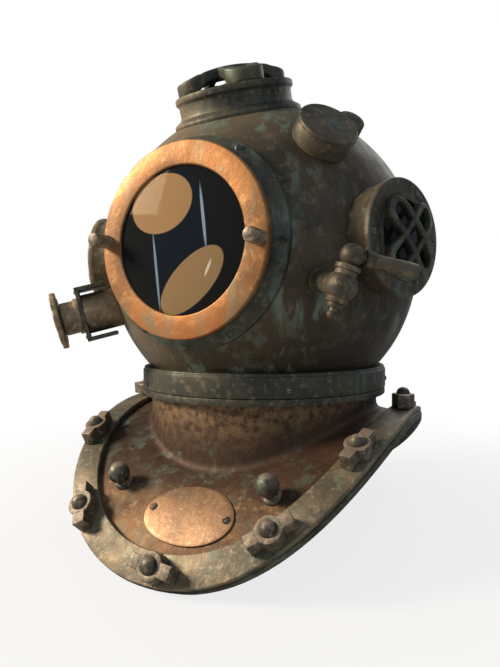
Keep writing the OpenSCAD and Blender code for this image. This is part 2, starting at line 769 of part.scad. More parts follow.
// Two crossed loops cut from a domed casting with upright edges, on the ring that
// holds the glass
module guard(r, h, edge_h, bar, loop_w, ring_r, ring_in_r, ring_z) {
    dome_r = (r * r + pow(h - edge_h, 2)) / (2 * (h - edge_h));
    inner_h = h - bar;
    inner_r = r - bar;
    hollow_r = (inner_r * inner_r + inner_h * inner_h) / (2 * inner_h);
    difference() {
        intersection() {
            linear_extrude(height = h + nudge) for (turn = [45, 135]) rotate(turn) difference() {
                long_hole(2 * r, loop_w);
                long_hole(2 * (r - bar), loop_w - 2 * bar);
            }
            translate([0, 0, h - dome_r]) sphere(r = dome_r, $fn = fine);
        }
        translate([0, 0, inner_h - hollow_r]) sphere(r = hollow_r, $fn = fine);
    }
    tube(ring_r, ring_in_r, ring_z, 0.8);
}

side_bar = 5;
side_guard_edge = 6;
side_loop_w = 24.5;

module side_guard(side) {
    color(brass_green) at_side(side) translate([0, 0, side_face])
        guard(side_guard_r, side_guard_h, side_guard_edge, side_bar, side_loop_w, side_glass_r,
            side_clear_r, side_glass_top - side_face);
}

module side_window_frame_left() { color(bronze_brown) side_window_frame(1); }
module side_window_frame_right() { color(bronze_brown) side_window_frame(-1); }
module side_glass_left() { side_glass(1); }
module side_glass_right() { side_glass(-1); }
module side_gasket_left() { side_gasket(1); }
module side_gasket_right() { side_gasket(-1); }
module side_guard_left() { side_guard(1); }
module side_guard_right() { side_guard(-1); }

module side_window_screws() {
    color(bronze_brown) for (side = [-1, 1]) at_side(side) at_side_screws() dome_screw(screw_r);
}

// Top window

top_face = bonnet_r + top_stand;
top_foot_r = top_lip_r + top_foot_w;
top_guard_r = top_lip_r - top_guard_in;
top_glass_r = top_clear_r + 4.5;
top_glass_top = top_face - 3;
top_lip_h = 6;
top_gasket_t = 1.5;
top_guard_edge = 9;
top_bar = 7;
top_loop_w = 36;

module at_top() {
    on_bonnet(0, top_el) children();
}

module top_window_frame() {
    color(brass_green) difference() {
        union() {
            difference() {
                at_top() {
                    disc(top_lip_r - 2.5, bonnet_r / 2, top_face - top_lip_h + nudge);
                    disc(top_lip_r, top_face - top_lip_h, top_face);
                    disc(top_foot_r, bonnet_r / 2, sqrt(pow(bonnet_r, 2) - pow(top_foot_r, 2)) + 4);
                }
                bonnet_ball(bonnet_r + seat_gap);
            }
            at_top() disc(top_neck_r, bonnet_r - light_depth, top_face - top_lip_h);
        }
        at_top() {
            disc(top_clear_r, bonnet_r / 2, 2 * bonnet_r);
            disc(top_glass_r + seat_gap, top_glass_top - glass_t - top_gasket_t,
                top_face + nudge);
        }
    }
}

module top_glass() {
    color(glass_dark) at_top() disc(top_glass_r, top_glass_top - glass_t, top_glass_top);
}

module top_gasket() {
    color(leather_dark) at_top() tube(top_glass_r, top_clear_r,
        top_glass_top - glass_t - top_gasket_t, top_glass_top - glass_t);
}

module top_guard() {
    color(brass_green) at_top() translate([0, 0, top_face]) guard(top_guard_r, top_guard_h,
        top_guard_edge, top_bar, top_loop_w, top_glass_r, top_clear_r, top_glass_top - top_face);
}

// Telephone

phone_face = bonnet_r + phone_stand;
phone_cap_t = 3.5;
phone_lobe_x = 26;
phone_lobe_y = 12;
phone_lobe_r = 12;
phone_lobe_drop = 1.5;
phone_bore_r = phone_hole_r - 3;
phone_back = bonnet_in_r - 5;

module at_phone() {
    on_bonnet(phone_az, phone_el) children();
}

module telephone_housing() {
    color(bronze_brown) difference() {
        union() {
            difference() {
                at_phone() {
                    disc(phone_r, bonnet_r / 2, phone_face - phone_cap_t);
                    translate([phone_lobe_x, phone_lobe_y, bonnet_r / 2]) cylinder(
                        r = phone_lobe_r, h = phone_face - phone_lobe_drop - bonnet_r / 2,
                        $fn = mid);
                }
                bonnet_ball(bonnet_r + seat_gap);
                at_phone() disc(phone_r + seat_gap, phone_face - phone_cap_t, 2 * bonnet_r);
            }
            at_phone() disc(phone_hole_r, phone_back, bonnet_r + 1);
        }
        at_phone() disc(phone_bore_r, bonnet_r / 2, phone_face - phone_cap_t - 3);
        at_phone() translate([phone_lobe_x + phone_lobe_r, phone_lobe_y, phone_face - 7])
            cylinder(r = 3, h = 10, $fn = mid);
    }
}

module telephone_cap() {
    color(brass_green) at_phone() {
        disc(phone_r, phone_face - phone_cap_t + seat_gap, phone_face - 0.8);
        disc(phone_r - 0.8, phone_face - 1.6, phone_face);
    }
}

receiver_t = 9;

module telephone_receiver() {
    color(copper_brown) at_phone() difference() {
        disc(phone_bore_r - seat_gap, phone_back + 1, phone_back + 1 + receiver_t);
        for (turn = [0:60:300]) rotate([0, 0, turn]) translate([7, 0, phone_back])
            cylinder(r = 1.8, h = 5, $fn = mid);
        translate([0, 0, phone_back]) cylinder(r = 1.8, h = 5, $fn = mid);
    }
}

// Rear elbows. The tube leaves the bonnet, turns down through a quarter circle
// and ends in a chamber.
elbow_bore_r = elbow_r - 4.5;
elbow_foot_r = elbow_r + 9;
elbow_start = bonnet_r + 4;
chamber_r = elbow_r + 4;
chamber_bore_r = chamber_r - 3.5;
chamber_h = 22;
chamber_y = -elbow_bend;

module at_elbow(side) {
    on_bonnet(side * elbow_az, 0) children();
}

// Places children with +Z down the hose, at the end of the bend
module at_chamber(side) {
    at_elbow(side) translate([0, chamber_y, elbow_start + elbow_bend]) rotate([90, 0, 0])
        children();
}

module quarter_bend(r) {
    span = elbow_bend + 2 * elbow_r;
    intersection() {
        translate([0, chamber_y, elbow_start]) rotate([0, 90, 0])
            rotate_extrude($fn = fine) translate([elbow_bend, 0]) circle(r, $fn = mid);
        translate([-span, chamber_y, elbow_start]) cube([2 * span, span, span]);
    }
}

module rear_elbow(side) {
    difference() {
        union() {
            difference() {
                at_elbow(side) {
                    disc(elbow_r, bonnet_r / 2, elbow_start);
                    disc(elbow_foot_r, bonnet_r / 2, elbow_start);
                }
                bonnet_ball(bonnet_r + seat_gap);
            }
            at_elbow(side) {
                disc(elbow_neck_r, bonnet_r - 8, elbow_start - 1);
                quarter_bend(elbow_r);
            }
            at_chamber(side) {
                disc(elbow_r, 0, 4);
                disc(chamber_r, 3, chamber_h);
            }
        }
        at_elbow(side) {
            disc(elbow_bore_r, bonnet_r / 2, elbow_start);
            quarter_bend(elbow_bore_r);
        }
        at_chamber(side) {
            disc(elbow_bore_r, 0, 7);
            disc(chamber_bore_r, 6, chamber_h + nudge);
        }
    }
}

module air_inlet_elbow() { color(brass_green) rear_elbow(-1); }
module telephone_elbow() { color(brass_green) rear_elbow(1); }

union_bore_r = 7;
union_seat_z = chamber_h - 6;
cage_t = 2;
cage_z = 6;
valve_disc_t = 2.5;
valve_stem_r = 2;

module air_inlet_union() {
    color(bronze_brown) at_chamber(-1) difference() {
        union() {
            disc(chamber_bore_r - seat_gap, union_seat_z, chamber_h + nudge);
            disc(chamber_r, chamber_h, chamber_h + 6);
            disc(inlet_r, chamber_h + 5, chamber_h + 6 + inlet_l);
        }
        disc(union_bore_r, 0, chamber_h + 8 + inlet_l);
    }
}

module air_valve_disc() {
    color(bronze_brown) at_chamber(-1) {
        disc(chamber_bore_r - 2.5, union_seat_z - valve_disc_t, union_seat_z);
        disc(valve_stem_r, cage_z - 1, union_seat_z - nudge);
    }
}

module air_valve_cage() {
    color(brass_green) at_chamber(-1) difference() {
        disc(chamber_bore_r - seat_gap, cage_z, cage_z + cage_t);
        disc(valve_stem_r + run_gap, 0, chamber_h);
        for (turn = [0:120:240]) rotate([0, 0, turn]) translate([7.6, 0, 0])
            cylinder(r = 3.4, h = chamber_h, $fn = mid);
    }
}

module telephone_gland() {
    color(bronze_brown) at_chamber(1) difference() {
        union() {
            disc(chamber_bore_r - seat_gap, union_seat_z, chamber_h + nudge);
            disc(chamber_r, chamber_h, chamber_h + 6);
            disc(inlet_r - 2, chamber_h + 5, chamber_h + 6 + inlet_l);
        }
        disc(union_bore_r - 2, 0, chamber_h + 8 + inlet_l);
    }
}

// Channel that leads the air from the inlet up the inside of the bonnet
duct_w = 30;
duct_t = 9;
duct_sheet = 1.2;
duct_from = -9;
duct_to = 46;

module duct_sector(w, r_out, r_in, from, to) {
    intersection() {
        difference() {
            bonnet_ball(r_out);
            bonnet_ball(r_in);
        }
        translate([0, 0, bonnet_z]) rotate([0, 0, -elbow_az - 90]) rotate([90, 0, 0])
            translate([0, 0, -w / 2]) rotate([0, 0, from]) linear_extrude(height = w)
                polygon([[0, 0], [2 * bonnet_r, 0],
                    [2 * bonnet_r * cos(to - from), 2 * bonnet_r * sin(to - from)]]);
    }
}

module air_duct() {
    r = bonnet_in_r - seat_gap;
    color(copper_brown) difference() {
        duct_sector(duct_w, r, r - duct_t, duct_from, duct_to);
        duct_sector(duct_w - 2 * duct_sheet, r + nudge, r - duct_t + duct_sheet, duct_from + 0.5,
            duct_to + 5);
        at_elbow(-1) disc(elbow_neck_r + seat_gap, bonnet_r - 8 - seat_gap, 2 * bonnet_r);
    }
}

// Spit cock

cock_reach = bonnet_r + cock_stand;
cock_stem_r = 8.5;
cock_foot_r = 10;
cock_bore_r = 3.5;
plug_r = 5;
plug_boss_r = 8;
plug_boss_h = 12;
collar_r = 9.3;
collar_t = 3.5;
upper_ball_r = 8.7;
upper_ball_s = 22.6;
tail_s = -21;

module at_cock() {
    on_bonnet(cock_az, cock_el) children();
}

// Places children with +Z along the plug's axis
module at_plug() {
    at_cock() translate([0, 0, cock_reach]) rotate([0, 0, -cock_lean]) rotate([-90, 0, 0])
        children();
}

module spit_cock_body() {
    color(bronze_brown) difference() {
        union() {
            difference() {
                at_cock() disc(cock_foot_r, bonnet_r / 2, bonnet_r + 3.5);
                bonnet_ball(bonnet_r + seat_gap);
            }
            at_cock() {
                disc(cock_hole_r, bonnet_r - 6, bonnet_r + 5);
                disc(cock_stem_r, bonnet_r + 2, cock_reach);
                translate([0, 0, cock_reach]) sphere(r = cock_ball_r, $fn = fine);
            }
            at_plug() disc(plug_boss_r, -plug_boss_h, plug_boss_h);
        }
        at_cock() disc(cock_bore_r, bonnet_r / 2, 2 * bonnet_r);
        at_plug() disc(plug_r + run_gap, -plug_boss_h - nudge, plug_boss_h + nudge);
    }
}

module spit_cock_plug() {
    color(bronze_brown) difference() {
        at_plug() {
            disc(plug_r, -plug_boss_h - seat_gap - nudge, plug_boss_h + nudge);
            disc(collar_r, plug_boss_h + seat_gap, plug_boss_h + collar_t);
            translate([0, 0, upper_ball_s]) sphere(r = upper_ball_r, $fn = fine);
            disc(5.5, plug_boss_h + collar_t - nudge, upper_ball_s);
            disc(5.6, -plug_boss_h - 3.6, -plug_boss_h - seat_gap);
            disc(2.6, tail_s, -plug_boss_h - 3);
            translate([0, 0, tail_s]) sphere(r = 3.6, $fn = mid);
        }
        at_plug() rotate([90, 0, 0]) disc(cock_bore_r, -plug_r - nudge, plug_r + nudge);
        at_plug() translate([0, 0, upper_ball_s]) rotate([0, 90 - lever_rise, 0])
            disc(lever_root_r + seat_gap, 3, 2 * upper_ball_r);
    }
}

lever_rise = 5;
lever_root_r = 4.5;
lever_block_r = 6.5;
lever_block_h = 8;
lever_end_r = 6.2;

module spit_cock_lever() {
    color(bronze_brown) at_plug() translate([0, 0, upper_ball_s]) rotate([0, 90 - lever_rise, 0]) {
        disc(lever_root_r, 3 + seat_gap, upper_ball_r + 4);
        translate([0, 0, upper_ball_r + 0.5]) cylinder(r = lever_block_r, h = lever_block_h,
            $fn = mid);
        translate([0, 0, upper_ball_r + 4]) cylinder(r1 = 5.2, r2 = lever_end_r,
            h = lever_l - 7 - upper_ball_r, $fn = mid);
        translate([0, 0, lever_l - 3]) cylinder(r1 = lever_end_r, r2 = lever_end_r - 2.4, h = 3,
            $fn = mid);
    }
}

// Exhaust valve

usual_r = 160;
exhaust_az = exhaust_beside * usual_r / bonnet_r - side_az;
exhaust_el = -exhaust_below * usual_r / bonnet_r;
exhaust_foot = bonnet_r * [sin(exhaust_az) * cos(exhaust_el), -cos(exhaust_az) * cos(exhaust_el),
    sin(exhaust_el)];
exhaust_seat_t = 3;
exhaust_port_r = 8;
vent_w = 5;
vent_h = 12;
vent_z = 12;
exhaust_bore_r = exhaust_neck_r - 3;
exhaust_back = -15;
guard_web_t = 3.7;
exhaust_tube_r = exhaust_r - 3.4;
exhaust_ring_r = exhaust_tube_r + 1.6;
exhaust_ring_t = 4.5;
exhaust_ring_z = exhaust_h + guard_web_t + 2 * seat_gap;
exhaust_tube_l = 13;
exhaust_tube_top = exhaust_ring_z + exhaust_ring_t + exhaust_tube_l;
wheel_hub_r = 8;
wheel_t = 5;
wheel_gap = 1.2;

// Places children with +Z along the exhaust valve, from the bonnet's surface
module at_exhaust() {
    translate([0, 0, bonnet_z]) translate(exhaust_foot) rotate([0, 0, exhaust_point_az])
        rotate([90 + exhaust_drop, 0, 0]) children();
}

module exhaust_body() {
    color(bronze_brown) difference() {
        union() {
            difference() {
                at_exhaust() disc(exhaust_r, -bonnet_r / 4, exhaust_h);
                bonnet_ball(bonnet_r + seat_gap);
            }
            at_exhaust() {
                disc(exhaust_neck_r, exhaust_back, exhaust_h);
                disc(exhaust_ring_r, exhaust_ring_z, exhaust_ring_z + exhaust_ring_t);
                disc(exhaust_tube_r, exhaust_h - nudge, exhaust_tube_top);
            }
        }
        at_exhaust() {
            disc(exhaust_port_r, -bonnet_r / 2, exhaust_h);
            disc(exhaust_bore_r, 0, exhaust_h - 2);
            disc(exhaust_bore_r, exhaust_back - nudge, -exhaust_seat_t);
            disc(wheel_hub_r + run_gap, 0, bonnet_r);
            for (turn = [235:35:305]) rotate([0, 0, turn])
                translate([exhaust_bore_r - 2, -vent_w / 2, vent_z])
                cube([exhaust_r - exhaust_bore_r + 4, vent_w, vent_h]);
        }
    }
}

guard_half_w = 18.5;
guard_half_l = 26.5;
guard_side_t = 3.8;
guard_side_from = 6;

module exhaust_guard() {
    z = exhaust_h + seat_gap;
    color(brass_green) at_exhaust() {
        difference() {
            translate([-guard_half_w, -guard_half_l, z])
                cube([2 * guard_half_w, 2 * guard_half_l, guard_web_t]);
            disc(exhaust_tube_r + seat_gap, z - nudge, z + guard_web_t + nudge);
        }
        for (side = [-1, 1]) translate([-guard_half_w,
            side > 0 ? guard_half_l - guard_side_t : -guard_half_l, guard_side_from])
            cube([2 * guard_half_w, guard_side_t, z + nudge - guard_side_from]);
    }
}

wheel_z = exhaust_tube_top + wheel_gap;
wheel_scallops = 8;

module exhaust_hand_wheel() {
    color(bronze_brown) at_exhaust() difference() {
        union() {
            disc(wheel_r, wheel_z, wheel_z + wheel_t);
            disc(wheel_hub_r, exhaust_h + 4, wheel_z + nudge);
            disc(wheel_hub_r + 3, wheel_z - 0.6, wheel_z + wheel_t + 1.5);
        }
        for (i = [0:wheel_scallops - 1]) rotate([0, 0, (i + 0.5) * 360 / wheel_scallops])
            translate([wheel_r + 5, 0, wheel_z - nudge])
                cylinder(r = 9, h = wheel_t + 2 * nudge, $fn = mid);
        disc(valve_stem + 0.4, exhaust_h, exhaust_h + exhaust_tube_l);
    }
}

valve_r = exhaust_bore_r - 2;
valve_t = 3;
valve_stem = 2.6;

module exhaust_valve() {
    color(bronze_brown) at_exhaust() {
        disc(valve_r, 0, valve_t);
        disc(valve_stem, exhaust_back + 3, exhaust_h + 6);
    }
}

module exhaust_chin_button() {
    color(brass_tan) at_exhaust() difference() {
        disc(9, exhaust_back - 5, exhaust_back + 1);
        translate([0, 0, exhaust_back - 8]) sphere(r = 5, $fn = mid);
    }
    color(brass_tan) at_exhaust() disc(valve_stem, exhaust_back, exhaust_back + 3 - seat_gap);
}

// Neck latch

latch_w = 9;
latch_cheek_t = 3;
latch_pin_r = 2.5;
latch_z = 14;
latch_cheek_r = 6;
latch_stand = 9;
latch_out = neck_ring_r + latch_stand;
latch_reach_down = 26;

module at_latch() {
    rotate([0, 0, latch_az]) translate([0, -latch_out, latch_z]) rotate([0, 90, 0]) children();
}

module latch_bracket() {
    outer = latch_w / 2 + latch_cheek_t;
    color(brass_green) difference() {
        rotate([0, 0, latch_az]) {
            for (side = [-1, 1]) translate([side > 0 ? latch_w / 2 + run_gap : -outer,
                -latch_out, latch_z - latch_cheek_r])
                cube([latch_cheek_t - run_gap, latch_stand + 1, 2 * latch_cheek_r]);
            for (side = [-1, 1]) translate([side > 0 ? latch_w / 2 + run_gap : -outer,
                -latch_out, latch_z]) rotate([0, 90, 0]) cylinder(r = latch_cheek_r,
                h = latch_cheek_t - run_gap, $fn = mid);
            translate([-outer, -neck_ring_r - latch_cheek_t, latch_z - latch_cheek_r])
                cube([2 * outer, 5, 2 * latch_cheek_r]);
        }
        disc(neck_ring_r + seat_gap, -nudge, 2 * neck_ring_h);
        at_latch() translate([0, 0, -outer - nudge])
            cylinder(r = latch_pin_r + seat_gap, h = 2 * outer + 2 * nudge, $fn = mid);
    }
}

module latch_pin() {
    outer = latch_w / 2 + latch_cheek_t;
    color(bronze_brown) at_latch() {
        translate([0, 0, -outer - 1.5]) cylinder(r = latch_pin_r, h = 2 * outer + 3, $fn = mid);
        translate([0, 0, outer + seat_gap]) cylinder(r = latch_pin_r + 1.5, h = 2, $fn = mid);
    }
}

module latch_arm() {
    color(brass_tan) difference() {
        union() {
            at_latch() translate([0, 0, -latch_w / 2]) cylinder(r = 5.2, h = latch_w, $fn = mid);
            rotate([0, 0, latch_az]) translate([-latch_w / 2, -latch_out - 2,
                latch_z - latch_reach_down]) cube([latch_w, 4, latch_reach_down]);
            rotate([0, 0, latch_az]) translate([0, -latch_out - 2, latch_z - latch_reach_down])
                rotate([-90, 0, 0]) cylinder(r = latch_w / 2 + 3, h = 4, $fn = mid);
        }
        at_latch() translate([0, 0, -latch_w])
            cylinder(r = latch_pin_r + run_gap, h = 2 * latch_w, $fn = mid);
    }
}

breastplate_shell();
breastplate_neck_ring();
neck_gasket();
rim_plate();
braile_front_left();
braile_front_right();
braile_rear_left();
braile_rear_right();
rim_studs();
wing_nuts();
oval_plate();
oval_plate_screws();
weight_stud_left();
weight_stud_right();
bonnet_shell();
bonnet_neck_ring();
neck_ring_screws();
front_window_frame();
front_frame_screws();
faceplate_ring();
faceplate_handles();
front_glass();
front_glass_gasket();
front_glass_retainer();
side_window_frame_left();
side_window_frame_right();
side_glass_left();
side_glass_right();
side_gasket_left();
side_gasket_right();
side_guard_left();
side_guard_right();
side_window_screws();
top_window_frame();
top_glass();
top_gasket();
top_guard();
telephone_housing();
telephone_cap();
telephone_receiver();
telephone_elbow();
telephone_gland();
air_inlet_elbow();
air_inlet_union();
air_valve_disc();
air_valve_cage();
air_duct();
spit_cock_body();
spit_cock_plug();
spit_cock_lever();
exhaust_body();
exhaust_guard();
exhaust_hand_wheel();
exhaust_valve();
exhaust_chin_button();
latch_bracket();
latch_arm();
latch_pin();
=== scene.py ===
import math

import bmesh
import bpy
from mathutils import Matrix, Vector, noise


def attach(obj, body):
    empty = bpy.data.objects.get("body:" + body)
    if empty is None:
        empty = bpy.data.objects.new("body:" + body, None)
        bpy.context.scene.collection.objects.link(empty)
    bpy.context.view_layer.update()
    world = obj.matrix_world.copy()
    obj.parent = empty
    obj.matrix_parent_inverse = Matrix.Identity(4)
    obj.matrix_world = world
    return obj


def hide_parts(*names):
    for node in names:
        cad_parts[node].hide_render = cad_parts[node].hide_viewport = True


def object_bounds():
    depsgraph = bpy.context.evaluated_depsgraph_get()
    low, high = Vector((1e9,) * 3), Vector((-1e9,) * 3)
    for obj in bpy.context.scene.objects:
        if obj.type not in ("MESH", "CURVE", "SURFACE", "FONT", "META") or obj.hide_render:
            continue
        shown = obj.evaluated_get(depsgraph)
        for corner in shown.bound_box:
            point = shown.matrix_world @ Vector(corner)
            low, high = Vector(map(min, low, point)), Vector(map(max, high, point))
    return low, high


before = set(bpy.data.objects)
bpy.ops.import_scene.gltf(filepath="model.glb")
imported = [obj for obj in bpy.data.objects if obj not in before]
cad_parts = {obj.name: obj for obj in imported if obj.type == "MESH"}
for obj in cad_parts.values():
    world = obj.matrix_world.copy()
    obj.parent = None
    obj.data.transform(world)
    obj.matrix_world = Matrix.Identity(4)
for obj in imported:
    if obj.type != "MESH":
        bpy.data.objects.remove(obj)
cad_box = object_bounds()
scene = bpy.context.scene
scene.view_settings.view_transform = "Standard"


# CAMERA
# It stands a little to the wearer's left of the helmet's front, level with the
# lower edge of the faceplate, and close, so the near parts look larger.
camera_data = bpy.data.cameras.new("camera")
camera_data.lens = 27.0
camera_data.sensor_width = 36.0
camera_data.clip_start = 0.01
camera = bpy.data.objects.new("camera", camera_data)
scene.collection.objects.link(camera)
camera_ahead = Vector((-0.463, 0.886, -0.013))
camera_roll = Matrix.Rotation(math.radians(-0.4), 3, "Z").to_quaternion()
camera.rotation_mode = "QUATERNION"
camera.rotation_quaternion = camera_ahead.to_track_quat("-Z", "Y") @ camera_roll
camera.location = (0.2395, -0.4895, 0.0613)
scene.camera = camera


# FLOOR, BACKDROP AND LIGHT
# A plain white floor under the rim's feet, a white surround, one broad warm lamp at
# the wearer's right, a weaker cool one at the left and one behind.
def empty_tree(holder):
    holder.use_nodes = True
    holder.node_tree.nodes.clear()
    return holder.node_tree


def add_node(tree, kind, inputs, output=0, **settings):
    """A shader node whose inputs take constants or other nodes' outputs."""
    node = tree.nodes.new("ShaderNode" + kind)
    for setting, value in settings.items():
        setattr(node, setting, value)
    for name, value in inputs.items():
        socket = node.inputs[name]
        if isinstance(value, bpy.types.NodeSocket):
            tree.links.new(value, socket)
        else:
            socket.default_value = (*value, 1) if socket.type == "RGBA" else value
    return node.outputs[output]


def ease(tree, value, low, high, start=0.0, end=1.0):
    """Goes softly from start to end while the value goes from low to high."""
    return add_node(tree, "MapRange", {"Value": value, "From Min": low, "From Max": high,
                                       "To Min": start, "To Max": end},
                    interpolation_type="SMOOTHSTEP")


def show(tree, kind, shader):
    """Joins the finished shader to the output of its material or world."""
    tree.links.new(shader, tree.nodes.new("ShaderNodeOutput" + kind).inputs["Surface"])


def object_place(tree):
    return tree.nodes.new("ShaderNodeTexCoord").outputs["Object"]


def seen_straight(tree):
    """1 for what the camera sees, directly or through glass, and 0 for other light."""
    path = tree.nodes.new("ShaderNodeLightPath").outputs
    return add_node(tree, "Math", {0: path["Is Camera Ray"], 1: path["Is Transmission Ray"]},
                    operation="MAXIMUM")


pure_white, floor_grey = (1, 1, 1), (0.55, 0.55, 0.55)
world = bpy.data.worlds.new("studio")
scene.world = world
sky = empty_tree(world)
soft_fill = add_node(sky, "Background", {"Color": (0.80, 0.88, 1.0), "Strength": 0.29})
surround = add_node(sky, "Background", {"Color": pure_white, "Strength": 1.0})
show(sky, "World", add_node(sky, "MixShader", {0: seen_straight(sky), 1: soft_fill,
                                               2: surround}))


def link_shape(name, bm):
    mesh = bpy.data.meshes.new(name)
    bm.to_mesh(mesh)
    bm.free()
    shape = bpy.data.objects.new(name, mesh)
    scene.collection.objects.link(shape)
    return shape


floor_half, floor_gap = 3.0, 0.0003
floor_bm = bmesh.new()
bmesh.ops.create_grid(floor_bm, x_segments=1, y_segments=1, size=floor_half,
                      matrix=Matrix.Translation((0, 0, cad_box[0][2] - floor_gap)))
floor = link_shape("floor", floor_bm)
floor_paint = bpy.data.materials.new("white_floor")
tree = empty_tree(floor_paint)
matt = add_node(tree, "BsdfDiffuse", {"Color": floor_grey})
glow = add_node(tree, "Emission", {"Color": pure_white, "Strength": 1.0})
away = add_node(tree, "VectorMath", {0: object_place(tree)}, "Value", operation="LENGTH")
share = add_node(tree, "Math", {0: seen_straight(tree), 1: ease(tree, away, 0.2, 0.7, 0.8)},
                 operation="MULTIPLY")
show(tree, "Material", add_node(tree, "MixShader", {0: share, 1: matt, 2: glow}))
floor.data.materials.append(floor_paint)


def soft_lamp(name, place, target, size, power, colour):
    lamp = bpy.data.lights.new(name, "AREA")
    lamp.shape = "SQUARE"
    lamp.size = size
    lamp.energy = power
    lamp.color = colour
    lamp_object = bpy.data.objects.new(name, lamp)
    lamp_object.location = place
    aim = Vector(target) - Vector(place)
    lamp_object.rotation_mode = "QUATERNION"
    lamp_object.rotation_quaternion = aim.to_track_quat("-Z", "Y")
    scene.collection.objects.link(lamp_object)


soft_lamp("warm_key", (-1.34, -1.05, 0.95), (0, 0, 0.05), 0.5, 56, (1.0, 0.83, 0.63))
soft_lamp("cool_fill", (1.5, -1.0, 1.1), (0, 0, 0.05), 1.4, 5.5, (0.86, 0.96, 1.0))
soft_lamp("rear_fill", (0.3, 1.7, 1.1), (0, 0, 0.1), 1.2, 12, (1.0, 0.97, 0.92))


# BREASTPLATE COPPER
# A saddle of beaten copper sheet: a round neck, a fillet, a skirt that slopes to
# the rim and a flat flange under the brailes, all one sheet two millimetres thick.
bend_r, crest_z = 236.0, -22.5
half_w, half_l, square = 146.5, 224.0, 2.2
braile_w, copper_t, neck_r, fillet_r = 24.0, 2.0, 119.0, 6.0
side_slope, chest_slope, shoulder_z, chest_drop = 0.12, 0.20, -19.5, 46.8
stations, neck_top = 160, -6.1
flange_in, flange_out = -braile_w / 2, -7.0


def sheet_point(x, s, up):
    turn = s / bend_r
    return Vector((x, (bend_r + up) * math.sin(turn),
                   crest_z - bend_r + (bend_r + up) * math.cos(turn)))


def rim_stud(b):
    s, c = math.sin(b), math.cos(b)
    rho = (abs(s / half_w) ** square + abs(c / half_l) ** square) ** (-1 / square)
    return Vector((rho * s, -rho * c))


def rim_outward(b):
    s, c = math.sin(b) / half_w, math.cos(b) / half_l
    out = Vector((math.copysign(abs(s) ** (square - 1), s) / half_w,
                  -math.copysign(abs(c) ** (square - 1), c) / half_l))
    return out.normalized()


def rim_point(b, off, up):
    place = rim_stud(b) + off * rim_outward(b)
    return sheet_point(place.x, place.y, up)


def skirt_slope(az):
    return side_slope + chest_slope * math.cos(az) ** 2


def skirt_top_z(az):
    return shoulder_z - chest_drop * math.cos(az) ** 2


def round_neck(r, az, z):
    return Vector((r * math.sin(az), -r * math.cos(az), z))


def rim_direction(az):
    reach = bend_r * math.sin(half_l / bend_r) / half_l
    return math.atan2(math.sin(az) * reach, math.cos(az))


def skirt_point(az, f):
    """From the fillet (f = 0) to the brailes' inner edge (f = 1) on a smooth curve."""
    b = rim_direction(az)
    a = round_neck(neck_r + fillet_r, az, skirt_top_z(az))
    d = rim_point(b, flange_in, 0)
    reach = (d - a).length
    start = Vector((math.sin(az), -math.cos(az), -skirt_slope(az))).normalized() * reach
    end = (rim_point(b, flange_in + 1, 0) - d) * reach
    return (a * (2 * f ** 3 - 3 * f * f + 1) + start * (f ** 3 - 2 * f * f + f)
            + d * (3 * f * f - 2 * f ** 3) + end * (f ** 3 - f * f))


def skirt_normal(az, f):
    across = skirt_point(az + 0.0175, f) - skirt_point(az - 0.0175, f)
    down = skirt_point(az, min(f + 0.02, 1)) - skirt_point(az, f - 0.02)
    return -across.cross(down).normalized()


def skirt_raised(az, f, up):
    return skirt_point(az, f) + up * skirt_normal(az, f)


def fillet_point(az, f):
    z = skirt_top_z(az)
    corner = z + skirt_slope(az) * fillet_r
    return round_neck(neck_r + fillet_r * f * f, az,
                      (corner + fillet_r * 1.1) * (1 - f) ** 2 + 2 * corner * f * (1 - f)
                      + z * f * f)


def fillet_raised(az, f, up):
    along = fillet_point(az, f + 0.01) - fillet_point(az, f - 0.01)
    side = Vector((math.cos(az), math.sin(az), 0))
    return fillet_point(az, f) - up * side.cross(along).normalized()


def turns(steps):
    return [2 * math.pi * i / steps for i in range(steps)]


def loft(rings, closed=False):
    """A skin grown ring by ring from a first loop of edges."""
    bm = bmesh.new()
    order = bm.verts.layers.int.new("order")
    loop = [bm.verts.new(p) for p in rings[0]]
    for i, v in enumerate(loop):
        v[order] = i
    edges = [bm.edges.new((v, loop[i - 1])) for i, v in enumerate(loop)]
    first_edges, first_loop = edges, loop
    for ring in rings[1:]:
        grown = bmesh.ops.extrude_edge_only(bm, edges=edges)["geom"]
        loop = [g for g in grown if isinstance(g, bmesh.types.BMVert)]
        fresh = set(loop)
        edges = [g for g in grown if isinstance(g, bmesh.types.BMEdge)
                 and fresh.issuperset(g.verts)]
        for v in loop:
            v.co = ring[v[order]]
    if closed:
        bmesh.ops.bridge_loops(bm, edges=first_edges + edges)
    else:
        bm.faces.new(first_loop)
        bm.faces.new(sorted(loop, key=lambda v: v[order]))
    bmesh.ops.recalc_face_normals(bm, faces=bm.faces)
    return bm


def make_piece(name, bm, finish, body, node=None, smooth=35):
    """Millimetres become metres. The node that the piece stands in for has the piece's
    own name unless another is given."""
    bmesh.ops.scale(bm, vec=(0.001, 0.001, 0.001), verts=bm.verts)
    piece = link_shape("old_" + name, bm)
    piece.data.shade_smooth()
    piece.data.set_sharp_from_angle(angle=math.radians(smooth))
    piece.data.materials.append(finish)
    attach(piece, body)
    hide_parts(node or name)


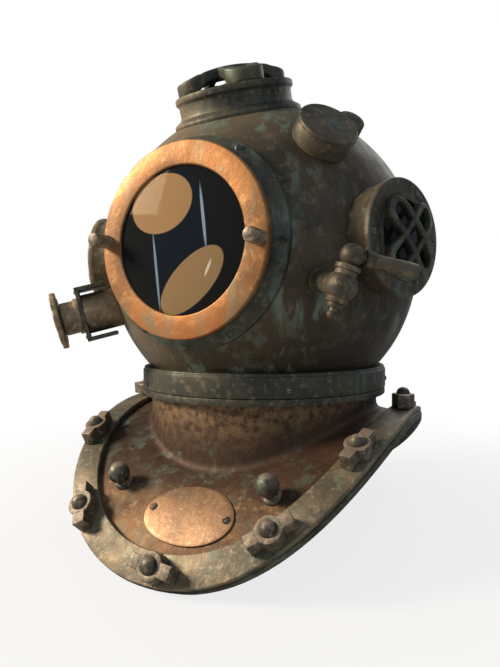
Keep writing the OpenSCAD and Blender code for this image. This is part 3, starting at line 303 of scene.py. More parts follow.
def aged_metal(name, dark, mid, worn, green, patches=14.0, speckle=120.0, streaks=0.35,
               verdigris=0.35, shine=0.5, rough=0.5, grain=0.25, edge_wear=0.6,
               tints_and_painted_light=(), painted_top_light=None, seed=0.0):
    """Old metal: dark and lighter patches, speckles, verdigris that runs down, and
    edges rubbed bright, in the patina's own colours. A caller can add tints along an
    axis, which paint light and shade on some parts, and a pale colour on upward faces,
    which is painted light."""
    material = bpy.data.materials.new(name)
    tree = empty_tree(material)
    coord = object_place(tree)

    def noise_at(scale, detail=5.0, squeeze=(1, 1, 1), shift=0.0):
        where = add_node(tree, "Mapping", {"Vector": coord, "Scale": squeeze,
                                           "Location": (seed + shift, seed * 1.7, -seed)})
        return add_node(tree, "TexNoise", {"Vector": where, "Scale": scale,
                                           "Detail": detail, "Roughness": 0.62})

    def between(value, low, high):
        return ease(tree, value, low, high)

    def times(a, b):
        return add_node(tree, "Math", {0: a, 1: b}, operation="MULTIPLY")

    def blend_colour(share, a, b):
        return add_node(tree, "Mix", {0: share, 6: a, 7: b}, 2, data_type="RGBA")

    broad = noise_at(patches, 6.0)
    fine = noise_at(speckle, 6.0, shift=3.1)
    colour = blend_colour(between(broad, 0.36, 0.62), dark, mid)
    colour = blend_colour(times(between(fine, 0.50, 0.72), 0.75), colour, worn)
    # Tints along one axis: on the bonnet, the top window's collar and the breastplate they
    # are painted light and painted shade; on the faceplate ring, an orange tint towards the
    # bottom.
    for axis, low, high, tint, share in tints_and_painted_light:
        along = add_node(tree, "SeparateXYZ", {0: coord}, axis)
        bent = add_node(tree, "Math", {0: broad, 1: 0.10, 2: along}, operation="MULTIPLY_ADD")
        colour = blend_colour(times(between(bent, low, high), share), colour, tint)
    run = noise_at(70.0, 4.0, squeeze=(1, 1, 0.14), shift=5.0)
    where_green = noise_at(patches * 0.8, 3.0, shift=8.0)
    drip = times(between(run, 0.51, 0.64), between(where_green, 0.40, 0.56))
    colour = blend_colour(times(drip, streaks), colour, green)
    bloom = times(between(noise_at(patches * 1.6, 7.0, shift=11.0), 0.56, 0.68),
                  between(noise_at(speckle * 0.6, shift=13.0), 0.42, 0.58))
    colour = blend_colour(times(bloom, verdigris), colour, green)
    shape = tree.nodes.new("ShaderNodeNewGeometry").outputs
    # Painted light: faces that point upwards take a pale colour, as if lit from above.
    if painted_top_light:
        upright = add_node(tree, "SeparateXYZ", {0: shape["Normal"]}, "Z")
        colour = blend_colour(times(between(upright, 0.60, 0.85), 0.75), colour, painted_top_light)
    form = shape["Pointiness"]
    rubbed = times(between(form, 0.52, 0.60), between(fine, 0.34, 0.60))
    colour = blend_colour(times(rubbed, edge_wear), colour, worn)
    hollow = add_node(tree, "Math", {0: 1.0, 1: between(form, 0.42, 0.49)},
                      operation="SUBTRACT")
    colour = blend_colour(times(hollow, 0.7), colour, dark)
    roughness = add_node(tree, "MapRange", {"Value": noise_at(speckle * 0.5, shift=17.0),
                                            "To Min": rough - 0.12, "To Max": rough + 0.22})
    height = add_node(tree, "Math", {0: noise_at(speckle * 4.0, 4.0, shift=19.0), 1: 0.45,
                                     2: noise_at(speckle * 0.9, 4.0, shift=23.0)},
                      operation="MULTIPLY_ADD")
    bump = add_node(tree, "Bump", {"Height": height, "Strength": grain, "Distance": 0.0015})
    metal = add_node(tree, "BsdfPrincipled", {"Base Color": colour, "Metallic": shine,
                                              "Roughness": roughness, "Normal": bump})
    show(tree, "Material", metal)
    return material


def copper_section(az):
    b = rim_direction(az)
    outside = [round_neck(neck_r, az, neck_top)]
    outside += [fillet_point(az, k / 6) for k in range(6)]
    outside += [skirt_point(az, k / 18) for k in range(19)]
    outside += [rim_point(b, flange_out, 0), rim_point(b, flange_out, -copper_t)]
    inside = [rim_point(b, flange_in, -copper_t)]
    inside += [skirt_raised(az, k / 18, -copper_t) for k in range(17, 0, -1)]
    inside += [fillet_raised(az, k / 6, -copper_t) for k in range(6, 0, -1)]
    inside += [round_neck(neck_r - copper_t, az, skirt_top_z(az) + fillet_r * 1.4),
               round_neck(neck_r - copper_t, az, neck_top)]
    return outside + inside


verdigris_green = (0.150, 0.235, 0.185)
# Painted shade: the tint along Z darkens the upper part of the breastplate, its neck and
# shoulders, where the bonnet's shadow and the shade fall.
copper_patina_and_painted_shade = aged_metal(
    "copper_patina_and_painted_shade", (0.070, 0.038, 0.019), (0.200, 0.106, 0.045), (0.340, 0.215, 0.110),
    verdigris_green, patches=16.0, speckle=150.0, streaks=0.25, verdigris=0.60, shine=0.35,
    rough=0.58, grain=0.35, tints_and_painted_light=[("Z", -0.032, -0.018, (0.036, 0.017, 0.010), 0.85)])
copper = loft([copper_section(az) for az in turns(stations)], closed=True)
make_piece("breastplate_copper", copper, copper_patina_and_painted_shade, "breastplate",
           "breastplate_shell", smooth=50)


# RIM PLATE
# A flat brass strip bent to the saddle under the copper, rebated for its edge and
# filed flat where it stands at the front and the back.
rim_brass = aged_metal(
    "rim_brass", (0.030, 0.032, 0.026), (0.070, 0.068, 0.048), (0.16, 0.135, 0.085),
    verdigris_green, patches=20.0, speckle=170.0, verdigris=0.5, shine=0.4, rough=0.55)
rim_t, rim_off, rebate = 6.0, braile_w / 2 + 1.0, flange_out + 0.1
foot_z = rim_point(0, rim_off, -rim_t).z + 3.0


def rim_section(b):
    return [rim_point(b, flange_in, -copper_t - 0.1), rim_point(b, rebate, -copper_t - 0.1),
            rim_point(b, rebate, 0), rim_point(b, rim_off, 0), rim_point(b, rim_off, -rim_t),
            rim_point(b, flange_in, -rim_t)]


def soften(bm, width, segments=2, angle=32):
    """Rounds off every edge that is sharper than the angle."""
    sharp = [e for e in bm.edges if e.is_manifold
             and e.calc_face_angle(0) > math.radians(angle)]
    bmesh.ops.bevel(bm, geom=sharp, offset=width, segments=segments, profile=0.5,
                    affect="EDGES", material=-1, clamp_overlap=True)
    return bm


strip = loft([rim_section(b) for b in turns(stations)], closed=True)
bmesh.ops.bisect_plane(strip, geom=strip.verts[:] + strip.edges[:] + strip.faces[:],
                       plane_co=(0, 0, foot_z), plane_no=(0, 0, -1), clear_outer=True)
bmesh.ops.holes_fill(strip, edges=[e for e in strip.edges if e.is_boundary])
make_piece("rim_plate", soften(strip, 0.6), rim_brass, "breastplate")


# BRAILES
# Four straps of brass that clamp the suit's collar: they butt under the front,
# rear and side nuts, and the darker rim plate shows along their outer edge.
braile_brass = aged_metal(
    "braile_brass", (0.085, 0.076, 0.054), (0.190, 0.152, 0.100), (0.340, 0.270, 0.180),
    verdigris_green, patches=26.0, speckle=190.0, streaks=0.4, verdigris=0.4, shine=0.45,
    rough=0.48, grain=0.28)
straps = {"front_left": (2, 93), "rear_left": (93, 180), "rear_right": (180, 276),
          "front_right": (276, 362)}
seam, braile_low, braile_top = math.degrees(0.15 / half_w), 0.5, 5.5
for side_name, (start, end) in straps.items():
    rings = []
    for i in range(41):
        b = math.radians(start + seam + (end - start - 2 * seam) * i / 40)
        w = braile_w / 2
        rings.append([rim_point(b, -w, braile_low), rim_point(b, -w, braile_top),
                      rim_point(b, w, braile_top), rim_point(b, w, braile_low)])
    make_piece("braile_" + side_name, soften(loft(rings), 0.9, 3), braile_brass,
               "breastplate")


# STUDS AND WING NUTS
# Twelve brass studs come up through the rim, each with a cast nut that has two
# square wings, turned as its thread left it; the studs' ends are domed.
def revolve(profile, steps):
    """A turned shape from (radius, height) points, spun round the Z axis."""
    bm = bmesh.new()
    line = [bm.verts.new((r, 0, z)) for r, z in profile]
    edges = [bm.edges.new(pair) for pair in zip(line, line[1:])]
    bmesh.ops.spin(bm, geom=line + edges, axis=(0, 0, 1), cent=(0, 0, 0),
                   angle=2 * math.pi, steps=steps, use_merge=True)
    bmesh.ops.remove_doubles(bm, verts=bm.verts, dist=0.0005)
    bmesh.ops.recalc_face_normals(bm, faces=bm.faces)
    return bm


def bar(size, centre, bevel=0.8, segments=3):
    """A squared block with its edges rounded off."""
    bm = bmesh.new()
    bmesh.ops.create_cube(bm, size=1.0)
    bmesh.ops.scale(bm, vec=size, verts=bm.verts)
    bmesh.ops.bevel(bm, geom=bm.edges[:], offset=bevel, segments=segments, profile=0.5,
                    affect="EDGES", material=-1)
    bmesh.ops.translate(bm, vec=centre, verts=bm.verts)
    return bm


def moved(bm, matrix):
    bmesh.ops.transform(bm, matrix=matrix, verts=bm.verts)
    return bm


def shift(x, y, z):
    return Matrix.Translation((x, y, z))


def rotation(degrees, axis="Z"):
    return Matrix.Rotation(math.radians(degrees), 4, axis)


def join_shapes(shapes):
    """Several closed shapes of one casting as one mesh."""
    whole = bmesh.new()
    for shape in shapes:
        part = bpy.data.meshes.new("part")
        shape.to_mesh(part)
        whole.from_mesh(part)
        bpy.data.meshes.remove(part)
        shape.free()
    return whole


def ball_arc(r, z, start, end, count):
    """Points of a ball's outline from one elevation to another, in degrees."""
    arc = [math.radians(start + (end - start) * i / count) for i in range(count + 1)]
    return [(r * math.cos(a), z + r * math.sin(a)) for a in arc]


nut_brass = aged_metal(
    "nut_brass", (0.036, 0.036, 0.030), (0.088, 0.080, 0.062), (0.360, 0.270, 0.195),
    verdigris_green, patches=60.0, speckle=260.0, rough=0.45, edge_wear=0.9,
    # Painted light: the upward faces of the nuts, studs and screws take a pale colour.
    painted_top_light=(0.330, 0.265, 0.205), seed=2.0)
stud_angles = [2, 26, 52, 93, 130, 156, 180, 204, 230, 276, 311, 337]
nut_turns = [-8, -5, 0, 12, 5, -20, 10, 0, -8, 75, -9, -18]
stud_r, nut_bore, nut_r, nut_low, nut_top = 6.4, 6.5, 10.6, 5.6, 18.5
wing_size, wing_out, wing_mid = (10.6, 10.5, 12.9), 13.7, 12.05


def at_stud(angle, turn):
    b = math.radians(angle)
    place, out = rim_stud(b), rim_outward(b)
    return (shift(place.x, 0, crest_z - bend_r)
            @ Matrix.Rotation(-place.y / bend_r, 4, "X") @ shift(0, 0, bend_r)
            @ Matrix.Rotation(math.atan2(out.x, -out.y) + math.radians(turn), 4, "Z"))


stud_shapes, nut_shapes = [], []
for angle, turn in zip(stud_angles, nut_turns):
    stud = revolve([(0, -5), (stud_r, -5), (stud_r, nut_top)]
                   + ball_arc(stud_r, nut_top, 0, 90, 8)[1:], 32)
    stud_shapes.append(moved(stud, at_stud(angle, turn)))
    boss = revolve([(nut_bore, nut_low), (nut_r, nut_low), (nut_r, nut_top - 0.6),
                    (nut_r - 0.5, nut_top), (nut_bore, nut_top), (nut_bore, nut_low)], 40)
    wings = [bar(wing_size, (side * wing_out, 0, wing_mid)) for side in (-1, 1)]
    for shape in [soften(boss, 0.4)] + wings:
        nut_shapes.append(moved(shape, at_stud(angle, turn)))
make_piece("rim_studs", join_shapes(stud_shapes), nut_brass, "breastplate")
make_piece("wing_nuts", join_shapes(nut_shapes), nut_brass, "breastplate")


# OVAL PLATE
# A thin oval of brass, cut flat and bent to the skirt, held by two small
# round-headed screws at its ends.
plate_brass = aged_metal(
    "plate_brass", (0.210, 0.120, 0.065), (0.330, 0.190, 0.100), (0.450, 0.290, 0.165),
    (0.230, 0.260, 0.190), patches=30.0, speckle=300.0, streaks=0.15, verdigris=0.20,
    shine=0.45, rough=0.42, grain=0.15, seed=4.0)
plate_f, plate_l, plate_t, plate_low = 0.57, 90.0, 1.6, 0.1
plate_az, plate_tilt, plate_hang = math.radians(5), math.radians(6), 135.0
plate_r = skirt_point(0, plate_f).to_2d().length
skirt_l = (rim_point(0, flange_in, 0)
           - round_neck(neck_r + fillet_r, 0, skirt_top_z(0))).length
plate_w = 0.67 * skirt_l
plate_rings, screw_out = 8, 38.5


def plate_place(u, v):
    """Where a point of the flat plate lies on the skirt: its ends hang lower."""
    across = u * math.cos(plate_tilt) + v * math.sin(plate_tilt)
    rise = v * math.cos(plate_tilt) - u * math.sin(plate_tilt)
    return (plate_az + across / plate_r,
            plate_f + (across * across / (2 * plate_hang) - rise) / skirt_l)


def plate_ring(k, up):
    size = k / plate_rings
    return [skirt_raised(*plate_place(size * plate_l / 2 * math.cos(a),
                                      -size * plate_w / 2 * math.sin(a)), up)
            for a in turns(72)]


rings = [plate_ring(k, plate_low + plate_t) for k in range(1, plate_rings + 1)]
rings += [plate_ring(k, plate_low) for k in range(plate_rings, 0, -1)]
make_piece("oval_plate", soften(loft(rings), 0.5), plate_brass, "breastplate")


def at_skirt(az, f, up, turn=0.0):
    normal = skirt_normal(az, f).to_track_quat("Z", "Y").to_matrix().to_4x4()
    return Matrix.Translation(skirt_raised(az, f, up)) @ normal @ rotation(turn)


def slotted_head(r, rise):
    """A round screw head with a filed slot across it."""
    top = r * r / (2 * rise) + rise / 2
    rim = math.degrees(math.asin((top - rise) / top))
    head = revolve([(0, -0.6), (r, -0.6)] + ball_arc(top, rise - top, rim, 90, 6), 28)
    for side in (-1, 1):
        bmesh.ops.bisect_plane(head, geom=head.verts[:] + head.edges[:] + head.faces[:],
                               plane_co=(0, side * r * 0.14, 0), plane_no=(0, 1, 0))
    for v in head.verts:
        if abs(v.co.y) < r * 0.15 and v.co.z > 0 and v.co.xy.length < r * 0.97:
            v.co.z = max(v.co.z - r * 0.30, -0.3)
    return head


screws = [moved(slotted_head(3.4, 1.9),
                at_skirt(*plate_place(side * screw_out, 0), 1.9, 40 * side))
          for side in (-1, 1)]
make_piece("oval_plate_screws", join_shapes(screws), nut_brass, "breastplate")


# WEIGHT STUDS
# Two cast brass balls on short posts with a round foot, one at each side of the
# chest, where the front weight's line is hooked on.
weight_f, weight_ball_r, weight_ball_h = 0.63, 9.3, 13.5
post = [(0, 0), (8.2, 0), (8.2, 1.4), (7.2, 2.6), (5.8, 3.2), (5.0, 4.4), (4.9, 5.8)]
for side_name, az in (("left", 32), ("right", -27)):
    stud = revolve(post + ball_arc(weight_ball_r, weight_ball_h, -58, 90, 18), 48)
    moved(soften(stud, 0.3, 2, 28), at_skirt(math.radians(az), weight_f, 0.2))
    make_piece("weight_stud_" + side_name, stud, nut_brass, "breastplate")


# NECK RINGS
# Two turned brass rings with an interrupted thread between them: the lower one is
# riveted to the breastplate's neck, the upper one to the bonnet.
ring_brass = aged_metal(
    "ring_brass", (0.026, 0.030, 0.026), (0.066, 0.064, 0.046), (0.170, 0.140, 0.090),
    (0.120, 0.190, 0.155), patches=18.0, speckle=160.0, streaks=0.4, shine=0.45, seed=6.0)
neck_bore, spigot_r, lower_r, ring_r, ring_top = 109.0, 118.0, 127.5, 128.0, 22
lower = revolve([(neck_bore, -20), (116.9, -20), (116.9, -6), (lower_r, -6), (lower_r, 0),
                 (126.6, 0), (126.6, -2.1), (121.8, -2.1), (121.8, 0), (spigot_r, 0),
                 (spigot_r, 15.5), (neck_bore, 15.5), (neck_bore, -20)], 144)
upper = revolve([(121.9, 0.3), (127.2, 0.3), (ring_r, 1.1), (ring_r, 18.6), (126.9, 19.6),
                 (126.9, 21.2), (126.2, ring_top), (119.85, ring_top), (119.85, 19),
                 (116, 19), (116, 16.5), (121.9, 16.5), (121.9, 0.3)], 144)


def lug(r_in, r_out, z, turn):
    """One tooth of the interrupted thread."""
    arc, thick = 42, 5
    tooth = bmesh.new()
    corners = [(r_in, z), (r_out, z), (r_out, z + thick), (r_in, z + thick)]
    line = [tooth.verts.new((r, 0, h)) for r, h in corners]
    face = tooth.faces.new(line)
    bmesh.ops.spin(tooth, geom=[face], axis=(0, 0, 1), cent=(0, 0, 0),
                   angle=math.radians(arc), steps=16, use_merge=False)
    bmesh.ops.recalc_face_normals(tooth, faces=tooth.faces)
    return moved(tooth, rotation(turn - arc / 2))


def hoop(r_in, r_out, low, high, steps):
    return revolve([(r_in, low), (r_out, low), (r_out, high), (r_in, high), (r_in, low)],
                   steps)


lower_teeth = [lug(117.6, 121.6, 10.5, 90 * i) for i in range(4)]
upper_teeth = [lug(118.3, 122.3, 5.2, 90 * i) for i in range(4)]
make_piece("neck_ring_lower", join_shapes([soften(lower, 0.5)] + lower_teeth), ring_brass,
           "breastplate", "breastplate_neck_ring")
make_piece("neck_ring_upper", join_shapes([soften(upper, 0.4)] + upper_teeth), ring_brass,
           "bonnet", "bonnet_neck_ring")
leather = aged_metal(
    "greased_leather", (0.020, 0.013, 0.009), (0.050, 0.032, 0.020), (0.080, 0.055, 0.035),
    (0.040, 0.035, 0.022), speckle=400.0, shine=0.0, rough=0.6, streaks=0.0, verdigris=0.1)
make_piece("neck_gasket", soften(hoop(121.9, 126.5, -2, 0, 144), 0.3), leather,
           "breastplate")
screws = []
for i in range(5):
    place = rotation((i + 0.5) * 72) @ shift(0, -ring_r, 7) @ rotation(90, "X")
    screws.append(moved(slotted_head(3.2, 2.0), place @ Matrix.Rotation(0.9 * i, 4, "Z")))
make_piece("neck_ring_screws", join_shapes(screws), nut_brass, "bonnet")


# BONNET
# A ball of spun copper sheet, open at the neck, with holes cut for the windows and
# fittings. Its patina is dark, rubbed lighter in specks and at edges, and streaked
# green; painted light makes its side towards the warm lamp and its top tan, and
# painted shade darkens its lower part.
bonnet_copper = aged_metal(
    "bonnet_copper", (0.021, 0.020, 0.014), (0.068, 0.050, 0.032), (0.150, 0.116, 0.074),
    (0.150, 0.205, 0.165), patches=9.0, speckle=85.0, streaks=0.8, verdigris=0.55,
    shine=0.40, rough=0.52, grain=0.30, seed=1.0,
    # Painted light and shade: tan on the side towards the warm lamp and on the top, and a
    # dark lower part.
    tints_and_painted_light=[("X", 0.12, -0.05, (0.280, 0.210, 0.125), 0.7),
                ("Z", 0.24, 0.33, (0.210, 0.175, 0.115), 0.6),
                ("Z", 0.17, 0.07, (0.026, 0.022, 0.015), 0.65)])
bonnet_r, bonnet_z = 160.0, 128.0
inner_r, front_lift, side_lift = bonnet_r - copper_t, 4, 5.5


def facing(az, el, lift=0.0, out=0.0):
    """The place on the bonnet whose +Z points outwards in that direction."""
    return (shift(0, 0, bonnet_z + lift) @ rotation(az) @ rotation(90 - el, "X")
            @ shift(0, 0, out))


def disc(r, low, high, steps):
    return revolve([(0, low), (r, low), (r, high), (0, high)], steps)


def beaten(bm, depth, scale, seed):
    """Shallow dents and waves of sheet that was worked by hand."""
    for v in bm.verts:
        place = v.co * scale + Vector((seed, 2.3 * seed, -seed))
        v.co += v.normal * depth * noise.noise(place)
    return bm


front = facing(0, 0, front_lift)
sides = {"left": facing(67.5, 0, side_lift), "right": facing(-67.5, 0, side_lift)}
top = facing(0, 69)
phone = facing(48, 34)
cock = facing(42.5, -11)
elbows = {"air": facing(-158, 0), "telephone": facing(158, 0)}
exhaust = (Matrix.Translation(facing(-46, -16.5, 0, bonnet_r).to_translation())
           @ rotation(-46) @ rotation(104.5, "X"))
foot_turn = math.degrees(math.asin((ring_top - bonnet_z) / bonnet_r))
inner_turn = math.degrees(math.asin((ring_top - bonnet_z) / inner_r))
outline = [(119.75, 19)] + ball_arc(bonnet_r, bonnet_z, foot_turn, 90, 90)
outline += ball_arc(inner_r, bonnet_z, 90, inner_turn, 60) + [(117.85, 19), (119.75, 19)]
blank = link_shape("bonnet_blank", beaten(revolve(outline, 180), 0.55, 0.022, 3.0))
holes = [(front, 76.1), (sides["left"], 41.1), (sides["right"], 41.1), (top, 50.1),
         (phone, 21.6), (cock, 5.1), (elbows["air"], 12.1), (elbows["telephone"], 12.1)]
drills = [moved(disc(r, 90, 230, 72), place) for place, r in holes]
drills.append(moved(disc(17.5, -40, 60, 48), exhaust))
drill = link_shape("drills", join_shapes(drills))
cutter = blank.modifiers.new("holes", "BOOLEAN")
cutter.operation = "DIFFERENCE"
cutter.solver = "EXACT"
cutter.object = drill
bpy.context.view_layer.update()
pierced = bmesh.new()
pierced.from_object(blank, bpy.context.evaluated_depsgraph_get())
for spare in (blank, drill):
    bpy.data.objects.remove(spare)
make_piece("bonnet_copper", pierced, bonnet_copper, "bonnet", "bonnet_shell",
           smooth=40)


# FRONT WINDOW FRAME
# A cast brass ring whose flange is bent to the bonnet and held by six screws; its
# dark edge shows all round the faceplate, which screws into it.
frame_brass = aged_metal(
    "frame_brass", (0.022, 0.026, 0.023), (0.055, 0.058, 0.044), (0.150, 0.115, 0.075),
    (0.115, 0.185, 0.155), patches=22.0, speckle=150.0, streaks=0.5, verdigris=0.5,
    shine=0.4, rough=0.52, seed=8.0)
seat_r, flange_r = bonnet_r + 0.1, bonnet_r + 4.5


def over_ball(r, turn, lift, ball):
    """Height above the helmet's centre plane of a ball's surface, beside a lifted axis."""
    y = r * math.sin(turn) + lift
    return math.sqrt(ball * ball - (r * math.cos(turn)) ** 2 - y * y)


def saddle_ring(section, steps):
    """A ring whose section changes with the turn, as (radius, height) points."""
    rings = []
    for turn in turns(steps):
        rings.append([Vector((r * math.cos(turn), r * math.sin(turn), z))
                      for r, z in section(turn)])
    return loft(rings, closed=True)


def front_section(turn):
    def at(r, ball):
        return over_ball(r, turn, front_lift, ball)
    return [(76.3, at(76.3, seat_r)), (90.5, at(90.5, seat_r)), (90.5, at(90.5, flange_r)),
            (84.6, at(84.6, flange_r)), (81.6, at(82.0, flange_r) + 1.6), (80.5, 146.6),
            (80.5, 149.7), (71.3, 149.7), (71.3, 134.7), (76, 134.7)]


def on_flange(r, turn):
    x, y = r * math.cos(turn), r * math.sin(turn)
    normal = Vector((x, y + front_lift, over_ball(r, turn, front_lift, flange_r)))
    return shift(x, y, normal.z) @ normal.to_track_quat("Z", "Y").to_matrix().to_4x4()


rim = moved(soften(saddle_ring(front_section, 144), 0.7), front)
make_piece("front_window_frame", rim, frame_brass, "bonnet")
screws = []
for i in range(6):
    place = front @ on_flange(86.05, math.radians(60 * i - 3))
    screws.append(moved(slotted_head(3.4, 2.1),
                        place @ Matrix.Rotation(0.8 * i + 0.9, 4, "Z")))
make_piece("front_frame_screws", join_shapes(screws), frame_brass, "bonnet")


# FACEPLATE
# A heavy brass ring, rubbed to bright copper colour, that screws into the frame and
# is turned by two stub handles.
face_brass = aged_metal(
    "face_brass", (0.140, 0.072, 0.030), (0.340, 0.150, 0.047), (0.460, 0.250, 0.100),
    (0.150, 0.200, 0.140), speckle=110.0, streaks=0.4, verdigris=0.55, shine=0.55,
    rough=0.44, grain=0.18, edge_wear=0.5, seed=5.0,
    tints_and_painted_light=[("Z", 0.15, 0.09, (0.480, 0.170, 0.045), 0.6)])
handle_brass = aged_metal(
    "handle_brass", (0.050, 0.042, 0.034), (0.140, 0.110, 0.080), (0.420, 0.330, 0.230),
    verdigris_green, patches=70.0, speckle=240.0, rough=0.42, edge_wear=0.9, seed=9.0)
face_z, handle_out, handle_turn = 156, 74.8, -3.5
ring = revolve([(81, 150), (81, 155), (80, face_z), (61.9, face_z), (61, 155.1), (61, 154),
                (65.8, 154), (65.8, 138.7), (71, 138.7), (71, 150), (81, 150)], 160)
make_piece("faceplate_ring", moved(soften(ring, 0.35), front), face_brass,
           "faceplate_ring")
handles = []
for side in (0, 180):
    stub = revolve([(0, 0.1), (5.9, 0.1), (5.9, 17.5), (5.3, 18.7), (4.1, 19.3),
                    (0, 19.5)], 48)
    handles.append(moved(stub, front @ rotation(side + handle_turn)
                         @ shift(handle_out, 0, face_z)))
make_piece("faceplate_handles", join_shapes(handles), handle_brass, "faceplate_ring")


# FRONT GLASS
# A thick polished pane between a leather washer and the ring. Its near-black colour is
# painted shade for the dark bonnet behind it, and it carries painted reflections: two
# pale warm shapes, a dark blue panel with bright edges and a small pale highlight.
def glass_painted_shade_and_reflections(name, gleam, shapes=()):
    """A pane painted near-black, painted shade for the dark bonnet behind it. Each shape
    is a painted reflection, an ellipse: place, half axes, turn, tone and softness of its
    edge.
    """
    material = bpy.data.materials.new(name)
    tree = empty_tree(material)
    # Painted shade: the pane's colour is near-black for the dark inside of the bonnet.
    colour = (0.010, 0.012, 0.013)
    for x, z, rx, rz, turn, tone, soft in shapes:
        ellipse = add_node(tree, "Mapping", {
            "Vector": object_place(tree), "Location": (x, 0, z),
            "Rotation": (0, math.radians(turn), 0), "Scale": (rx, 1000.0, rz)},
            vector_type="TEXTURE")
        reach = add_node(tree, "VectorMath", {0: ellipse}, "Value", operation="LENGTH")
        inside = ease(tree, reach, 1.0 + soft, 1.0 - soft)
        colour = add_node(tree, "Mix", {0: inside, 6: colour, 7: tone}, 2, data_type="RGBA")
    glass = add_node(tree, "BsdfPrincipled", {"Base Color": colour, "Roughness": 0.06,
                                              "IOR": 1.5, "Specular IOR Level": gleam})
    show(tree, "Material", glass)
    return material


# Painted reflections: a dark blue panel, two bright blue-grey lines at its edges, two warm
# tan shapes and a small pale highlight.
front_glass = glass_painted_shade_and_reflections("front_glass", 0.01, [
    (0.0, 0.128, 0.026, 0.062, 0, (0.009, 0.013, 0.020), 0.10),
    (0.0229, 0.149, 0.0014, 0.024, -6, (0.200, 0.270, 0.360), 0.30),
    (-0.0237, 0.108, 0.0012, 0.031, -6, (0.160, 0.220, 0.300), 0.30),
    (-0.0180, 0.1640, 0.0310, 0.0240, -15, (0.270, 0.170, 0.085), 0.02),
    (0.0109, 0.0987, 0.0370, 0.0175, -40, (0.240, 0.160, 0.085), 0.02),
    (0.0270, 0.1085, 0.0012, 0.0070, 25, (0.550, 0.500, 0.380), 0.30)])
pane_r, pane_low, washer_low = 65.5, 146, 144.8
pane = soften(disc(pane_r, pane_low, 154, 96), 0.4)
washer = hoop(61, pane_r, washer_low, pane_low, 96)
keeper = soften(hoop(60.5, pane_r, 141.8, washer_low, 96), 0.3)
make_piece("front_glass", moved(pane, front), front_glass, "faceplate_glazing")
make_piece("front_glass_gasket", moved(washer, front), leather, "faceplate_glazing")
make_piece("front_glass_retainer", moved(keeper, front), ring_brass, "faceplate_glazing")


# SIDE WINDOWS
# A cast bronze drum at each side of the bonnet, with a wider flange, a pane on a
# leather washer, two screws and a domed brass guard of two crossed loops.
drum_bronze = aged_metal(
    "drum_bronze", (0.034, 0.033, 0.025), (0.098, 0.080, 0.053), (0.230, 0.185, 0.120),
    (0.125, 0.190, 0.155), patches=24.0, speckle=150.0, streaks=0.45, shine=0.4, seed=12.0)
sunlit_bronze = aged_metal(
    "sunlit_bronze", (0.130, 0.100, 0.064), (0.310, 0.240, 0.155), (0.520, 0.420, 0.280),
    (0.150, 0.190, 0.150), patches=26.0, speckle=170.0, streaks=0.3, verdigris=0.25,
    shine=0.42, rough=0.48, seed=14.0)
# Painted shade: the side and top panes are near-black for the dark bonnet behind them.
window_glass_painted_shade = glass_painted_shade_and_reflections("window_glass_painted_shade", 0.15)
drum_top, drum_r, drum_bore = 176.5, 46.5, 36


def sweep(path, section, up=Vector((0, 0, 1))):
    """A bar whose section keeps level while it follows a closed path."""
    rings = []
    for i, here in enumerate(path):
        ahead = (path[(i + 1) % len(path)] - path[i - 1]).normalized()
        side = ahead.cross(up).normalized()
        rings.append([here + side * a + up * b for a, b in section(here)])
    return loft(rings, closed=True)


def crossed_guard(r, h, edge, width, loop_w, ring_out, ring_in, ring_low):
    """Two long loops at right angles, domed over the pane, on the ring that holds it."""
    dome = (r * r + (h - edge) ** 2) / (2 * (h - edge))
    low_h, low_r = h - width, r - width
    hollow = (low_r ** 2 + low_h ** 2) / (2 * low_h)
    end = r - loop_w / 2
    half = loop_w / 2 - width / 2
    path = [Vector((-end + 2 * end * i / 14, -half, 0)) for i in range(14)]
    for i in range(16):
        a = -math.pi / 2 + math.pi * i / 16
        path.append(Vector((end + half * math.cos(a), half * math.sin(a), 0)))
    path += [-here for here in path]

    def section(here):
        points = []
        for a in (-width / 2, width / 2):
            away = min(here.xy.length + (a if here.xy.length > end else 0), r)
            high = math.sqrt(dome ** 2 - away ** 2) - dome + h
            low = max(math.sqrt(hollow ** 2 - min(away, low_r) ** 2) - hollow + low_h, 0.0)
            points.append((a, low, max(high, low + 1.2)))
        (a0, l0, h0), (a1, l1, h1) = points
        return [(a0, l0), (a1, l1), (a1, h1), (a0, h0)]

    loops = [moved(soften(sweep(path, section), width * 0.22, 3, 40), rotation(turn))
             for turn in (45, 135)]
    ring = soften(hoop(ring_in, ring_out, ring_low, 0.8, 96), 0.4)
    return join_shapes(loops + [ring])


def side_section(turn):
    def at(r):
        return over_ball(r, turn, side_lift, seat_r)
    return [(41.2, at(41.2)), (drum_r, at(drum_r)), (drum_r, 169.2), (47.3, 170.5),
            (48.7, 171.4), (48.7, 175.6), (47.8, drum_top), (36.1, drum_top),
            (36.1, 164.5), (31, 164.5), (31, 146), (41, 146)]


screws = []
for side_name, place in sides.items():
    drum = moved(soften(saddle_ring(side_section, 112), 0.5), place)
    make_piece("side_window_" + side_name, drum,
               drum_bronze if side_name == "left" else sunlit_bronze, "bonnet",
               "side_window_frame_" + side_name)
    pane = soften(disc(drum_bore, 166, 174, 72), 0.4)
    make_piece("side_glass_" + side_name, moved(pane, place), window_glass_painted_shade, "bonnet")
    washer = hoop(31, drum_bore, 164.5, 166, 72)
    make_piece("side_gasket_" + side_name, moved(washer, place), leather, "bonnet")
    guard = crossed_guard(37.0, 11.0, 6.0, 5.0, 24.5, 36.0, 31.0, -2.5)
    moved(guard, place @ shift(0, 0, drum_top))
    make_piece("side_guard_" + side_name, guard, ring_brass, "bonnet")
    for turn in (0, 180):
        spot = place @ rotation(turn) @ shift(42.85, 0, drum_top)
        screws.append(moved(slotted_head(3.2, 2.0), spot))
make_piece("side_window_screws", join_shapes(screws), nut_brass, "bonnet")


# TOP WINDOW
# A cast brass collar, larger than the side windows and tilted forwards on a flared
# foot, so that the wearer can look up; its guard stands high over the pane.
collar_top, collar_bore = 174.5, 46.5


